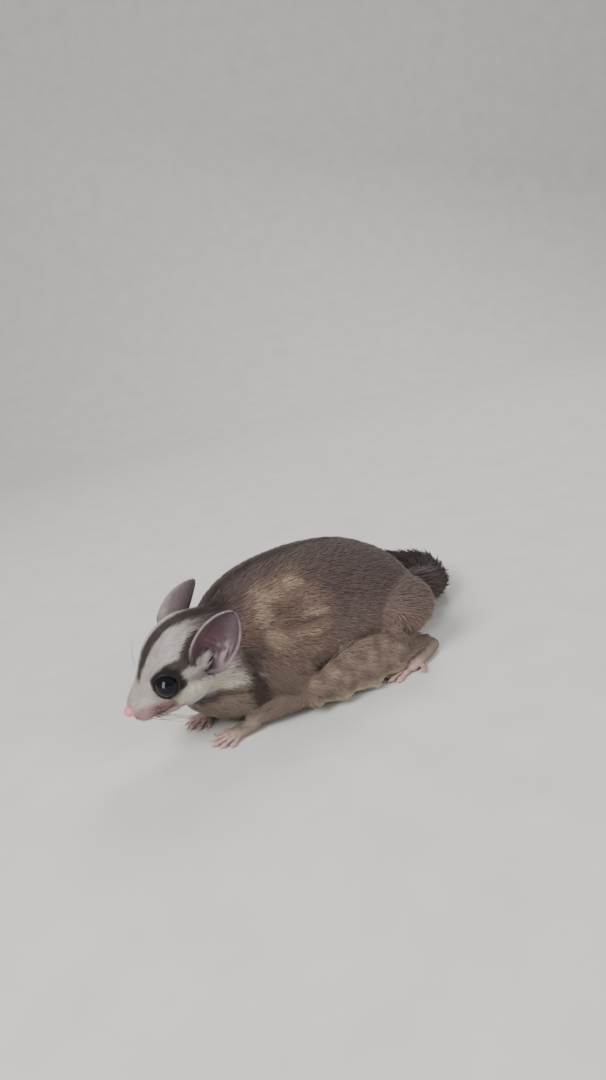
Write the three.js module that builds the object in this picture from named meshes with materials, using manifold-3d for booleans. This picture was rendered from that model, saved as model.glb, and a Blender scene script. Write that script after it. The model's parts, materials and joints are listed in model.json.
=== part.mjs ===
// A sugar glider at life size, crouched on the floor as a still model.
// Millimetres. In the animal's own frame +X is forward, +Y its left and +Z up, with x = 0 between
// the eyes and the floor at z = 0. The last lines turn it to face left and towards the viewer, and
// centre it on its footprint.
import * as THREE from "three";
import { mergeVertices } from "three/addons/utils/BufferGeometryUtils.js";
import Module from "manifold-3d";

const wasm = await Module();
wasm.setup();

// Driving dimensions
const GAP = 0.3; // between neighbouring solids
const HEADING = 34; // degrees that the trunk points towards the viewer, from straight left
const HEAD_HEIGHT = 31.5; // of the eyes above the floor
const HEAD_YAW = -11; // degrees to the animal's left
const HEAD_PITCH = 26; // degrees that the nose points down
const HEAD_ROLL = 8; // degrees that the left cheek is lowered
const EYE_RADIUS = 4.5;
const EYE_AT = [0.6, 8.5, 1.8];
const EYE_LOOK = [0.42, 0.8, 0.38];
const LID_THICKNESS = 0.75;
const EAR_HEIGHT = 22.5;
const EAR_WIDTH = 15.5;
const EAR_THICKNESS = 0.9;
const EAR_ROOT = [-14, 10.4, -0.5];
const EAR_AXIS = [-0.74, 0.44, 0.5]; // from root to tip
const EAR_OPENS = [0.35, 0.8, 0.3];
const NOSE_WIDTH = 4.4;
const NOSE_AT = [17.2, 0, -0.9];
const LOCK_LENGTH = 30;
const LOCK_WIDTH = 11;
const LOCK_RINGS = 8;
const LOCKS_ROUND = 5;
const TAIL_CUTS = [1.45, 2.45, 4.45, 6.45]; // counted in rings of locks
const HAND_LENGTH = 15;
const FOOT_LENGTH = 24;

// The trunk and the head are each lofted through stations from front to back:
// x, height of the back, height of the underside, half the width.
const TRUNK = [
  [-4, 31, 17, 5],
  [-11, 41, 9.5, 10],
  [-21, 49.5, 3, 14.5],
  [-34, 56, -1.5, 19.5],
  [-50, 58.5, -3, 24],
  [-70, 57.5, -3, 26.5],
  [-90, 53, -3, 26],
  [-106, 44, -0.5, 21.5],
  [-118, 32, 5, 13],
  [-124, 24, 11, 6],
];
const SKULL = [
  [17.6, 0.5, -4.8, 2.2],
  [15.8, 2.1, -6.9, 4.1],
  [12, 4.1, -8.4, 5.8],
  [7.5, 6.4, -9.6, 7.3],
  [3, 9.9, -10.8, 9.6],
  [-2, 13.1, -12, 12.2],
  [-8, 14.9, -13, 13.9],
  [-14, 14.8, -13.2, 14.4],
  [-20, 12.8, -12.6, 13.3],
  [-26, 9, -10.6, 10.6],
  [-31, 4.5, -6.5, 5.5],
];
const JAW = [
  [12.6, -8, -10.2, 2.4],
  [10.5, -7.4, -11.4, 4.2],
  [5, -6.8, -12.8, 6.6],
  [-2, -6, -14, 8.8],
  [-9, -5.4, -14.4, 9.6],
  [-15, -6, -12.5, 6],
];
// Half a sugar glider's ear from its root to its tip: share of the height, half the width, turn of the cup
const EAR = [
  [0, 0.5, 118],
  [0.16, 0.72, 108],
  [0.36, 0.94, 88],
  [0.56, 1, 72],
  [0.74, 0.9, 60],
  [0.88, 0.66, 50],
  [0.97, 0.34, 42],
  [1, 0.1, 40],
];
// Along the middle of the tail, from inside the rump to the tip:
// x, y, z, half the thickness of its coat, and the share of that which is solid
const TAIL = [
  [-110, 0, 21, 7, 0.9],
  [-127, -1, 15.5, 8, 0.75],
  [-142, -6, 11, 9, 0.5],
  [-151, -19, 10, 9.8, 0.5],
  [-147, -35.5, 10, 10.2, 0.5],
  [-133, -48, 10, 10.3, 0.5],
  [-113, -54, 10, 10.3, 0.5],
  [-91, -55.5, 10, 10.2, 0.5],
  [-69, -54.5, 10, 9.8, 0.5],
  [-49, -51, 9.5, 8.6, 0.45],
  [-31, -44.5, 8, 4, 0.35],
];

const COLOURS = {
  fur: 0x6f665f,
  back: 0x5a524d,
  face: 0xb3aba3,
  belly: 0xb9aa93,
  skin: 0xb98a86,
  ear: 0x8d7577,
  eye: 0x0b0c10,
  fringe: 0xc9bfae,
  dark: 0x2b2727,
};
const FINISH = {
  fur: 0.95,
  back: 0.95,
  face: 0.95,
  belly: 0.95,
  skin: 0.6,
  ear: 0.7,
  eye: 0.08,
  fringe: 0.95,
  dark: 0.95,
};

const vec = (x, y, z) => new THREE.Vector3(x, y, z);
const radians = THREE.MathUtils.degToRad;

// Solids

// A closed geometry as a solid that can be cut and joined, with its faces pointing out.
function solidOf(geometry) {
  for (const extra of ["normal", "uv"]) geometry.deleteAttribute(extra);
  const merged = mergeVertices(geometry, 1e-4);
  const triVerts = new Uint32Array(merged.index.array);
  const vertProperties = merged.attributes.position.array;
  const made = new wasm.Manifold(new wasm.Mesh({ numProp: 3, vertProperties, triVerts }));
  if (made.volume() > 0) return made;
  for (let i = 0; i < triVerts.length; i += 3) {
    [triVerts[i], triVerts[i + 1]] = [triVerts[i + 1], triVerts[i]];
  }
  return new wasm.Manifold(new wasm.Mesh({ numProp: 3, vertProperties, triVerts }));
}

function geometryOf(solid) {
  const { vertProperties, triVerts, numProp, numVert } = solid.getMesh();
  const position = new Float32Array(numVert * 3);
  for (let i = 0; i < numVert; i += 1) {
    position.set(vertProperties.subarray(i * numProp, i * numProp + 3), i * 3);
  }
  const geometry = new THREE.BufferGeometry();
  geometry.setAttribute("position", new THREE.BufferAttribute(position, 3));
  return geometry.setIndex(new THREE.BufferAttribute(triVerts, 1));
}

// A solid skin over a row of rings, each end closed by a fan about its middle.
function loft(rings) {
  const n = rings[0].length;
  const middle = (ring) => ring.reduce((sum, p) => sum.add(p), vec(0, 0, 0)).divideScalar(n);
  const points = [...rings.flat(), middle(rings[0]), middle(rings.at(-1))];
  const start = rings.length * n;
  const index = [];
  for (let k = 0; k < n; k += 1) {
    const next = (k + 1) % n;
    index.push(start, next, k);
    for (let a = k, b = next; a < start - n; a += n, b += n) index.push(a, b, b + n, a, b + n, a + n);
    index.push(start + 1, start - n + k, start - n + next);
  }
  return solidOf(new THREE.BufferGeometry().setFromPoints(points).setIndex(index));
}

const moved = (solid, matrix) => solidOf(geometryOf(solid).applyMatrix4(matrix));
const joined = (solids) => solids.reduce((sum, one) => sum.add(one));
const cutBy = (solid, tools) => tools.reduce((left, tool) => left.subtract(tool), solid);

// Only the largest closed surface of a solid.
function largest(solid) {
  return solid.decompose().reduce((a, b) => (a.volume() > b.volume() ? a : b));
}

// A solid's copy for one side, as way is 1 for the left and -1 for the right.
const MIRROR = new THREE.Matrix4().makeScale(1, -1, 1);
const SIDES = [["left", 1], ["right", -1]];
const toSide = (solid, way) => (way > 0 ? solid : moved(solid, MIRROR));

// A smooth row of numbers through stations, read at a share t of the row's length.
function alongStations(stations, t) {
  const place = t * (stations.length - 1);
  const i = Math.min(Math.floor(place), stations.length - 2);
  const f = place - i;
  const at = (k) => stations[THREE.MathUtils.clamp(k, 0, stations.length - 1)];
  return stations[0].map((_, c) => {
    const [a, b, d, e] = [at(i - 1)[c], at(i)[c], at(i + 1)[c], at(i + 2)[c]];
    const slopeIn = (d - a) / 2;
    const slopeOut = (e - b) / 2;
    const bend = 3 * (d - b) - 2 * slopeIn - slopeOut;
    const close = 2 * (b - d) + slopeIn + slopeOut;
    return b + f * (slopeIn + f * (bend + f * close));
  });
}

const SECTION = { grow: 0, fullness: 1, low: 0, floor: -Infinity };

// One section of a body across X. fullness above 1 squares it off, and low widens its lower half.
function section([x, top, bottom, width], sides, options = {}) {
  const { grow, fullness, low, floor } = { ...SECTION, ...options };
  const middle = (top + bottom) / 2;
  const half = (top - bottom) / 2 + grow;
  return Array.from({ length: sides }, (_, k) => {
    const a = (k / sides) * 2 * Math.PI;
    const [c, s] = [Math.cos(a), Math.sin(a)];
    const squared = Math.abs(c) ** (2 * fullness) + Math.abs(s) ** (2 * fullness);
    const swell = squared ** (-0.5 / fullness);
    const y = (width + grow) * c * swell * (1 - low * s);
    const z = middle + half * s * swell;
    return vec(x, y, Math.max(z, floor));
  });
}

// A body lofted through stations, with an even count of sections between them.
function body(stations, steps, sides, options = {}) {
  const grow = options.grow ?? 0;
  const sections = Array.from({ length: steps + 1 }, (_, i) => {
    const station = alongStations(stations, i / steps);
    if (i === 0) station[0] += grow;
    if (i === steps) station[0] -= grow;
    return section(station, sides, options);
  });
  return loft(sections);
}

// A limb: a tube along a smooth line, each point with its half width and half height, rounded at its ends.
const LIMB = { sides: 12, steps: 8, grow: 0, floor: -Infinity, up: vec(0, 0, 1), rounding: [0.6] };

function limb(points, options = {}) {
  const { sides, steps, grow, floor, up, rounding } = { ...LIMB, ...options };
  const line = new THREE.CatmullRomCurve3(points.map(([x, y, z]) => vec(x, y, z)), false, "centripetal");
  const sizes = points.map(([, , , width, height]) => [width, height ?? width]);
  const sections = [];
  const ring = (t, shrink, slide) => {
    const along = line.getTangent(t);
    const side = up.clone().cross(along).normalize();
    const over = along.clone().cross(side).normalize();
    const [width, height] = alongStations(sizes, t).map((size) => (size + grow) * shrink);
    const centre = line.getPoint(t).addScaledVector(along, slide);
    sections.push(
      Array.from({ length: sides }, (_, k) => {
        const a = (k / sides) * 2 * Math.PI;
        const p = centre.clone();
        p.addScaledVector(side, width * Math.cos(a)).addScaledVector(over, height * Math.sin(a));
        p.z = Math.max(p.z, floor);
        return p;
      }),
    );
  };
  const roundEnd = (t, way) => {
    const reach = Math.min(...alongStations(sizes, t)) + grow;
    return rounding.map((share) => () => ring(t, share, way * reach * Math.sqrt(1 - share * share)));
  };
  roundEnd(0, -1).forEach((make) => make());
  for (let i = 0; i <= steps; i += 1) ring(i / steps, 1, 0);
  roundEnd(1, 1).reverse().forEach((make) => make());
  return loft(sections);
}

function ball([x, y, z], [rx, ry, rz], { across = 16, down = 12, grow = 0, turn = [0, 0, 0] } = {}) {
  const geometry = new THREE.SphereGeometry(1, across, down);
  geometry.scale(rx + grow, ry + grow, rz + grow);
  geometry.rotateX(radians(turn[0])).rotateY(radians(turn[1])).rotateZ(radians(turn[2]));
  return solidOf(geometry.translate(x, y, z));
}

// A box from low to high, for cutting.
function block(low, high) {
  const size = high.map((h, i) => h - low[i]);
  const geometry = new THREE.BoxGeometry(...size);
  return solidOf(geometry.translate(...low.map((l, i) => l + size[i] / 2)));
}

function mesh(name, solid, look) {
  const geometry = geometryOf(solid);
  geometry.computeVertexNormals();
  const finish = { color: COLOURS[look], roughness: FINISH[look], metalness: 0 };
  const made = new THREE.Mesh(geometry, new THREE.MeshStandardMaterial(finish));
  made.name = name;
  return made;
}

// Head, in its own frame between the eyes

const eyeLook = vec(...EYE_LOOK).normalize();

function eyeball(way, grow = 0) {
  const [x, y, z] = EYE_AT;
  return toSide(ball([x, y, z], [EYE_RADIUS, EYE_RADIUS, EYE_RADIUS], { across: 12, down: 9, grow }), way);
}

// The rim of the lids: an almond ring that hugs the eyeball.
function lids(way) {
  const geometry = new THREE.TorusGeometry(EYE_RADIUS - 0.1, LID_THICKNESS, 5, 14);
  geometry.scale(1.06, 0.94, 1.2);
  const turn = new THREE.Quaternion().setFromUnitVectors(vec(0, 0, 1), eyeLook);
  geometry.applyQuaternion(turn);
  const at = vec(...EYE_AT).addScaledVector(eyeLook, 1.3);
  return toSide(solidOf(geometry.translate(at.x, at.y, at.z)), way);
}

function nose(grow = 0) {
  const [x, , z] = NOSE_AT;
  const half = NOSE_WIDTH / 2;
  const pad = ball(NOSE_AT, [1.9, half, 1.7], { across: 10, down: 7, grow, turn: [0, 20, 0] });
  if (grow > 0) return pad;
  const few = { across: 6, down: 5 };
  const nostrils = SIDES.map(([, way]) => ball([x + 1.2, way * 1.35, z - 0.2], [0.9, 0.6, 0.42], few));
  const groove = ball([x + 1.7, 0, z - 0.8], [0.7, 0.22, 1.1], few);
  return cutBy(pad, [...nostrils, groove]);
}

// The mouth: a thin wedge cut along the lip from one corner round the front to the other.
function mouthLine() {
  const lip = [
    [1.5, 9.6, -7.4, 0.5, 0.3],
    [5.5, 8.4, -8.1, 1, 0.3],
    [10.5, 6.2, -8.1, 1, 0.3],
    [14.4, 3.4, -6.7, 1, 0.3],
    [16.2, 0, -5.7, 1, 0.3],
  ];
  const right = lip.slice(0, -1).reverse().map(([x, y, z, w, h]) => [x, -y, z, w, h]);
  return limb([...lip, ...right], { sides: 4, steps: 12 });
}

function skull(grow = 0) {
  const brain = body(SKULL, 14, 18, { grow, fullness: 1.08, low: 0.05 });
  const jaw = body(JAW, 6, 12, { grow, fullness: 1.1 });
  const round = { grow, across: 8, down: 6 };
  const cheeks = SIDES.map(([, way]) => ball([-5.5, way * 8.6, -6], [9, 5.6, 5.8], round));
  const pads = SIDES.map(([, way]) => ball([12.6, way * 3.2, -4.3], [4, 3.1, 3], round));
  return joined([brain, jaw, ...cheeks, ...pads]);
}

// The ear: a leaf of skin rolled into a cup at its root.
function ear(way) {
  const steps = 8;
  const half = 4;
  const sections = Array.from({ length: steps + 1 }, (_, i) => {
    const [height, width, turn] = alongStations(EAR, i / steps);
    const roll = radians(turn);
    const radius = (width * EAR_WIDTH) / 2 / Math.sin(Math.min(roll, Math.PI / 2));
    const z = height * EAR_HEIGHT;
    const arc = (r, k) => {
      const a = (k / half) * roll;
      return vec(radius - r * Math.cos(a) - 0.008 * z * z, r * Math.sin(a), z);
    };
    const outer = Array.from({ length: 2 * half + 1 }, (_, k) => arc(radius, k - half));
    const inner = Array.from({ length: 2 * half + 1 }, (_, k) => arc(radius - EAR_THICKNESS, half - k));
    return [...outer, ...inner];
  });
  const axis = vec(...EAR_AXIS).normalize();
  const opens = vec(...EAR_OPENS);
  opens.addScaledVector(axis, -opens.dot(axis)).normalize();
  const across = axis.clone().cross(opens);
  const place = new THREE.Matrix4().makeBasis(opens, across, axis).setPosition(...EAR_ROOT);
  return toSide(moved(loft(sections), place), way);
}

const skullSolid = joined([skull(), lids(1), lids(-1)]);
const headSolid = largest(cutBy(skullSolid, [eyeball(1, GAP), eyeball(-1, GAP), nose(GAP), mouthLine()]));

const head = new THREE.Group();
head.position.set(0, 0, HEAD_HEIGHT);
head.rotation.set(radians(-HEAD_ROLL), radians(HEAD_PITCH), radians(HEAD_YAW), "ZYX");
head.updateMatrixWorld(true);
head.add(mesh("head", headSolid, "face"));
head.add(mesh("nose", nose(), "skin"));
for (const [side, way] of SIDES) {
  head.add(mesh("eye_" + side, eyeball(way), "eye"));
  head.add(mesh("ear_" + side, largest(ear(way).subtract(skull(GAP))), "ear"));
}
const headTool = moved(skull(GAP), head.matrixWorld);

// Forelegs, folded under the chest with the hands flat on the floor

function upperArm(way, grow = 0) {
  const line = [
    [-35, 12.5, 31, 9, 11],
    [-41, 17, 21, 8.5, 9.5],
    [-47, 20.5, 10, 5.6, 6],
  ];
  return toSide(limb(line, { grow, steps: 6, sides: 10, up: vec(1, 0, 0) }), way);
}

function forearm(way, grow = 0) {
  const line = [
    [-47, 20.5, 8, 5, 5],
    [-36, 18, 6.8, 4.4, 4.4],
    [-24, 13.6, 4.4, 3, 2.8],
  ];
  return toSide(limb(line, { grow, steps: 6, sides: 10 }), way);
}

// A paw: its sole, and digits that each end in a hooked claw.
function paw({ sole, digits, thick, claw, grow = 0 }) {
  const pieces = [limb(sole, { sides: 7, steps: 3, grow, floor: 0 })];
  for (const { root, bearing, reach } of digits) {
    const way = vec(Math.cos(radians(bearing)), Math.sin(radians(bearing)), 0);
    const at = (out, z, r) => [root[0] + way.x * out, root[1] + way.y * out, z, r];
    const digit = [
      at(-0.25 * reach, thick, thick),
      at(0.4 * reach, thick * 1.5, thick),
      at(0.85 * reach, thick, thick),
      at(reach + 0.1, thick * 1.1, thick * 0.42),
      at(reach + claw, 0.55, 0.24),
    ];
    pieces.push(limb(digit, { sides: 4, steps: 4, grow, floor: 0, rounding: [] }));
  }
  return largest(joined(pieces));
}

function hand(way, grow = 0) {
  const digits = [-2, -1, 0, 1, 2].map((k) => {
    const reach = HAND_LENGTH * (0.53 - 0.03 * k * k);
    return { root: [-16 - Math.abs(k) * 0.9, 10.8 + k * 1.35], bearing: -8 + k * 16, reach };
  });
  const sole = [[-25, 13.7, 3.2, 2.8, 2.4], [-20.5, 12.2, 2.4, 3.6, 2.2], [-16.5, 11, 1.8, 3.5, 1.7]];
  return toSide(paw({ sole, digits, thick: 1.05, claw: 1.6, grow }), way);
}

// Hind legs, drawn up beside the belly with the soles flat

function thigh(way, grow = 0) {
  const muscle = ball([-98, 17.5, 22], [17, 12.5, 17.5], { across: 11, down: 8, grow, turn: [90, 0, 0] });
  const knee = [
    [-97, 20, 18, 10, 13],
    [-86, 24.5, 13, 7.5, 9],
    [-79, 26, 10, 5, 6],
  ];
  return toSide(muscle.add(limb(knee, { sides: 10, steps: 4, grow, floor: 0.6 })), way);
}

function shin(way, grow = 0) {
  const line = [
    [-80, 26.5, 8, 4.6, 5],
    [-92, 28, 6.4, 4.3, 4.5],
    [-104, 28, 5, 3.6, 3.8],
  ];
  return toSide(limb(line, { grow, steps: 6, sides: 10, floor: 0.4 }), way);
}

function foot(way, grow = 0) {
  const digits = [-2, -1, 0, 1].map((k) => {
    const reach = FOOT_LENGTH * (0.4 - 0.02 * k * k);
    return { root: [-87 - Math.abs(k) * 0.8, 32.2 + k * 1.6], bearing: 5 + k * 9, reach };
  });
  const thumb = { root: [-93, 35.6], bearing: 52, reach: FOOT_LENGTH * 0.2 };
  const sole = [[-106, 29, 3, 3, 2.8], [-98, 31, 2.4, 3.8, 2.3], [-88, 32.2, 2, 4.2, 1.9]];
  return toSide(paw({ sole, digits: [...digits, thumb], thick: 1.15, claw: 1.5, grow }), way);
}

// The trunk, whole, then parted at the neck and the loins

const NECK_CUT = -31;
const LOIN_CUT = -90;
const trunkOptions = { fullness: 1.12, low: 0.1, floor: 0 };
const trunk = body(TRUNK, 15, 20, trunkOptions);
const trunkGrown = body(TRUNK, 15, 20, { ...trunkOptions, grow: GAP, floor: -1 });

// The gliding membrane, gathered in ripples along the flank from elbow to knee.
const FLANK = [
  [-42, 24.5, 8, 1.5, 4],
  [-52, 27, 11, 2.6, 8],
  [-66, 29.5, 12.5, 3.2, 10.5],
  [-80, 30.5, 11.5, 3, 9.5],
  [-92, 30, 9, 2.2, 7],
];
const RIPPLES = 4;

function membrane(way) {
  const steps = 13;
  const sides = 8;
  const sections = Array.from({ length: steps + 1 }, (_, i) => {
    const t = i / steps;
    const [x, y, z, thick, tall] = alongStations(FLANK, t);
    const wave = Math.sin(t * RIPPLES * 2 * Math.PI);
    return Array.from({ length: sides }, (_, k) => {
      const a = (k / sides) * 2 * Math.PI;
      const hang = (1 - Math.sin(a)) / 2;
      const out = y + thick * Math.cos(a) + hang * (1.6 + 1.5 * wave);
      return vec(x, out, Math.max(z + tall * Math.sin(a), 0.5 + 0.4 * wave));
    });
  });
  return toSide(loft(sections), way);
}

// The tail: a core with overlapping locks that lie back along it, whole, then parted into lengths

const tailLine = new THREE.CatmullRomCurve3(TAIL.map(([x, y, z]) => vec(x, y, z)), false, "centripetal");
const tailCoat = (t) => alongStations(TAIL, t)[3];

// The frame of the tail's line at a share of it: middle, way along, sideways and upward.
function tailFrame(t) {
  const along = tailLine.getTangent(t);
  const side = vec(0, 0, 1).cross(along).normalize();
  return { middle: tailLine.getPoint(t), along, side, over: along.clone().cross(side) };
}

function tailCore(grow = 0) {
  const points = TAIL.map(([x, y, z, coat, share]) => [x, y, z, coat * share]);
  return limb(points, { sides: 6, steps: 16, grow, rounding: [0.5] });
}

// The share of the line at which a ring of locks is rooted.
const ringStart = (ring) => 0.108 + (0.85 * ring) / LOCK_RINGS;

// A flat lock that leaves the core at a share of the line and a bearing round it, and ends in a point.
// Its rings: share of its length, its face and its keel as shares of the coat's thickness, and its breadth.
const LOCK = [
  [0, 0.6, 0.3, 0.75],
  [0.35, 0.9, 0.38, 1],
  [0.7, 1, 0.5, 0.7],
  [1, 0.97, 0.88, 0.07],
];

function lock(t, bearing, reach, width) {
  const whole = tailLine.getLength();
  const rings = LOCK.map(([way, face, keel, broad]) => {
    const at = t + (way * reach) / whole;
    const { middle, along, side, over } = tailFrame(Math.min(at, 1));
    const outward = side.clone().multiplyScalar(Math.cos(bearing)).addScaledVector(over, Math.sin(bearing));
    const round = along.clone().cross(outward);
    middle.addScaledVector(along, Math.max(at - 1, 0) * whole);
    const corner = (across, out) => {
      const far = out * tailCoat(Math.min(at, 1));
      const aside = (across * broad * width) / 2;
      return middle.clone().addScaledVector(outward, far).addScaledVector(round, aside);
    };
    return [corner(-1, face), corner(1, face), corner(0, keel)];
  });
  return loft(rings);
}

// Repeatable numbers between 0 and 1.
function* seeded(seed) {
  for (let n = seed; ; ) {
    n = (n * 48271) % 2147483647;
    yield n / 2147483647;
  }
}

function tailWhole() {
  const chance = seeded(71);
  const next = () => chance.next().value;
  const locks = [];
  for (let ring = 0; ring < LOCK_RINGS; ring += 1) {
    for (let k = 0; k < LOCKS_ROUND; k += 1) {
      const jitter = 0.3 * next() - 0.15;
      const t = ringStart(ring + jitter);
      const bearing = ((k + 0.5 * (ring % 2) + 0.3 * next()) / LOCKS_ROUND) * 2 * Math.PI;
      locks.push(lock(t, bearing, LOCK_LENGTH * (0.85 + 0.3 * next()), (LOCK_WIDTH * tailCoat(t)) / 10));
    }
  }
  return joined([tailCore(), ...locks]).subtract(block([-250, -150, -30], [100, 150, 0]));
}

// A fat sleeve round the tail's line between two shares of it, to cut a length with.
function tailSleeve(from, to) {
  const count = 8;
  const rings = Array.from({ length: count + 1 }, (_, i) => {
    const { middle, side, over } = tailFrame(from + ((to - from) * i) / count);
    return Array.from({ length: 12 }, (_, k) => {
      const a = (k / 12) * 2 * Math.PI;
      const out = side.clone().multiplyScalar(15 * Math.cos(a)).addScaledVector(over, 15 * Math.sin(a));
      return out.add(middle);
    });
  });
  return loft(rings);
}

const hips = new THREE.Group();
const bodyGroup = new THREE.Group();
const tail = new THREE.Group();
const tailSolid = tailWhole();
const tailEnds = [0, ...TAIL_CUTS.map(ringStart), 1];
const halfGap = GAP / 2 / tailLine.getLength();
for (let k = 0; k <= TAIL_CUTS.length; k += 1) {
  const start = k > 0 ? tailEnds[k] + halfGap : 0;
  const sleeves = [tailSleeve(start, tailEnds[k + 1] - halfGap)];
  if (k === TAIL_CUTS.length) {
    sleeves.push(ball(tailLine.getPoint(1).toArray(), [15, 15, 15], { across: 10, down: 8 }));
  }
  const length = largest(tailSolid.intersect(joined(sleeves)));
  tail.add(mesh("tail_" + (k + 1), length, k > 0 ? "dark" : "fur"));
}

const region = (from, to) => block([from, -60, -5], [to, 60, 90]);
const limbTools = SIDES.flatMap(([, way]) => [
  upperArm(way, GAP), forearm(way, GAP), thigh(way, GAP), shin(way, GAP), foot(way, GAP),
]);
const cuts = [headTool, ...limbTools];
bodyGroup.add(mesh("neck", largest(cutBy(trunk.intersect(region(NECK_CUT + GAP / 2, 0)), cuts)), "fur"));
const middle = trunk.intersect(region(LOIN_CUT + GAP / 2, NECK_CUT - GAP / 2));
bodyGroup.add(mesh("torso", largest(cutBy(middle, cuts)), "fur"));
const behind = trunk.intersect(region(-150, LOIN_CUT - GAP / 2));
hips.add(mesh("rump", largest(cutBy(behind, [...limbTools, tailCore(GAP)])), "back"));

for (const [side, way] of SIDES) {
  bodyGroup.add(mesh("upper_arm_" + side, upperArm(way), "fur"));
  bodyGroup.add(mesh("forearm_" + side, largest(forearm(way).subtract(upperArm(way, GAP))), "fur"));
  bodyGroup.add(mesh("hand_" + side, largest(hand(way).subtract(forearm(way, GAP))), "skin"));
  hips.add(mesh("thigh_" + side, largest(thigh(way).subtract(tailCore(GAP))), "back"));
  hips.add(mesh("shin_" + side, largest(shin(way).subtract(thigh(way, GAP))), "fur"));
  hips.add(mesh("foot_" + side, largest(cutBy(foot(way), [shin(way, GAP), thigh(way, GAP)])), "skin"));
  const around = [upperArm, forearm, thigh, shin, foot].map((make) => make(way, GAP));
  bodyGroup.add(mesh("membrane_" + side, largest(cutBy(membrane(way), [trunkGrown, ...around])), "fringe"));
}

// The whole animal, turned to its heading and centred over the origin

const animal = new THREE.Group();
animal.add(head, bodyGroup, hips, tail);
animal.rotation.z = Math.PI + radians(HEADING);
animal.updateMatrixWorld(true);
const reach = new THREE.Box3().setFromObject(animal, true);
animal.position.set(-(reach.min.x + reach.max.x) / 2, -(reach.min.y + reach.max.y) / 2, -reach.min.z);

const part = new THREE.Group();
part.add(animal);

export default part;
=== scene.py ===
# A life-size sugar glider, crouched on the floor as a still model: skin, coat, eyes, claws, whiskers.
import json
import math

import bmesh
import bpy
import numpy as np
from bpy.props import FloatProperty, FloatVectorProperty, IntProperty, PointerProperty
from mathutils import Matrix, Vector
from mathutils.kdtree import KDTree

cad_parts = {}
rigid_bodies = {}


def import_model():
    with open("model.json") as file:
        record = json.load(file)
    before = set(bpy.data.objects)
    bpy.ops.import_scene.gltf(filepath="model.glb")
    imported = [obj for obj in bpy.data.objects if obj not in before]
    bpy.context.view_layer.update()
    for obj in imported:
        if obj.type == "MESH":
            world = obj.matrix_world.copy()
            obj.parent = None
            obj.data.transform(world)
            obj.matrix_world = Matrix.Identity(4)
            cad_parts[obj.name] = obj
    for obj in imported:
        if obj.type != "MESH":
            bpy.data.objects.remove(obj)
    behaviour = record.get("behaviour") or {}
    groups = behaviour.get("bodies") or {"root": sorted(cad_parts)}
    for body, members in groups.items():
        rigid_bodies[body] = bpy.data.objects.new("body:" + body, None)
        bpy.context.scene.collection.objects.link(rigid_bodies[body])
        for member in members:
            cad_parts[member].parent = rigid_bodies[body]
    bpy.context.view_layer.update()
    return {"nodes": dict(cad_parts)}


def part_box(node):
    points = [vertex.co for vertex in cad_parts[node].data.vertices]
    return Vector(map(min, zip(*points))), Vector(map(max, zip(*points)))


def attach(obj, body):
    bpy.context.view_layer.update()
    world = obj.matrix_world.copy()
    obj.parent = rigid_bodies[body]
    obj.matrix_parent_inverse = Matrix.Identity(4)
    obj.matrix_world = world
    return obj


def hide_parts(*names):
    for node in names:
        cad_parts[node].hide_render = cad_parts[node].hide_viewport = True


bl_info = {
    "name": "Sugar glider",
    "version": (1, 0, 0),
    "blender": (4, 5, 0),
    "location": "View3D > Sidebar > Glider",
    "description": "A life-size sugar glider: skin, coat, eyes, claws and whiskers",
    "category": "Add Mesh",
}

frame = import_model()

# Shapes are worked out in millimetres in the animal's own frame: +X forward, +Y its left, +Z up.
MM = 0.001
HEADING = 34
HEAD_HEIGHT = 31.5
HEAD_YAW, HEAD_PITCH, HEAD_ROLL = -11, 26, 8
EYE_AT = (0.6, 8.5, 1.8)
EYE_LOOK = (0.42, 0.8, 0.38)
EAR_HEIGHT, EAR_WIDTH = 22.5, 15.5
EAR_ROOT = (-14, 10.4, -0.5)
EAR_AXIS = (-0.74, 0.44, 0.5)
EAR_OPENS = (0.35, 0.8, 0.3)
NOSE_AT = (17.2, 0, -0.9)
# The lids: degrees from the eye's look to their rim, their width, and the radii of socket and lid.
LID_ANGLE, LID_WIDTH = 64, 15
SOCKET, LID = 4.1, 4.62
# How fine the paws are made, and the share of the skin's triangles that is kept outside the face.
PAW_GRAIN = 0.32
KEPT_SHARE = 0.29
SIDES = (("left", 1), ("right", -1))

# Stations from front to back: x, height of the back, height of the underside, half the width.
TRUNK = (
    (-4, 31, 17, 5), (-11, 41, 9.5, 10), (-21, 49.5, 3, 14.5), (-34, 56, -1.5, 19.5),
    (-50, 58.5, -3, 24), (-70, 57.5, -3, 26.5), (-90, 53, -3, 26), (-106, 44, -0.5, 21.5),
    (-118, 32, 5, 13), (-124, 24, 11, 6),
)
SKULL = (
    (17.6, 0.5, -4.8, 2.2), (15.8, 2.1, -6.9, 4.1), (12, 4.1, -8.4, 5.8), (7.5, 6.4, -9.6, 7.3),
    (3, 9.9, -10.8, 9.6), (-2, 13.1, -12, 12.2), (-8, 14.9, -13, 13.9), (-14, 14.8, -13.2, 14.4),
    (-20, 12.8, -12.6, 13.3), (-26, 9, -10.6, 10.6), (-31, 4.5, -6.5, 5.5),
)
JAW = (
    (12.6, -8, -10.2, 2.4), (10.5, -7.4, -11.4, 4.2), (5, -6.8, -12.8, 6.6), (-2, -6, -14, 8.8),
    (-9, -5.4, -14.4, 9.6), (-15, -6, -12.5, 6),
)
# Half an ear from its root to its tip: share of the height, half the width, turn of the cup.
EAR = (
    (0, 0.5, 118), (0.16, 0.72, 108), (0.36, 0.94, 88), (0.56, 1, 72), (0.74, 0.9, 60),
    (0.88, 0.66, 50), (0.97, 0.34, 42), (1, 0.1, 40),
)
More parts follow.
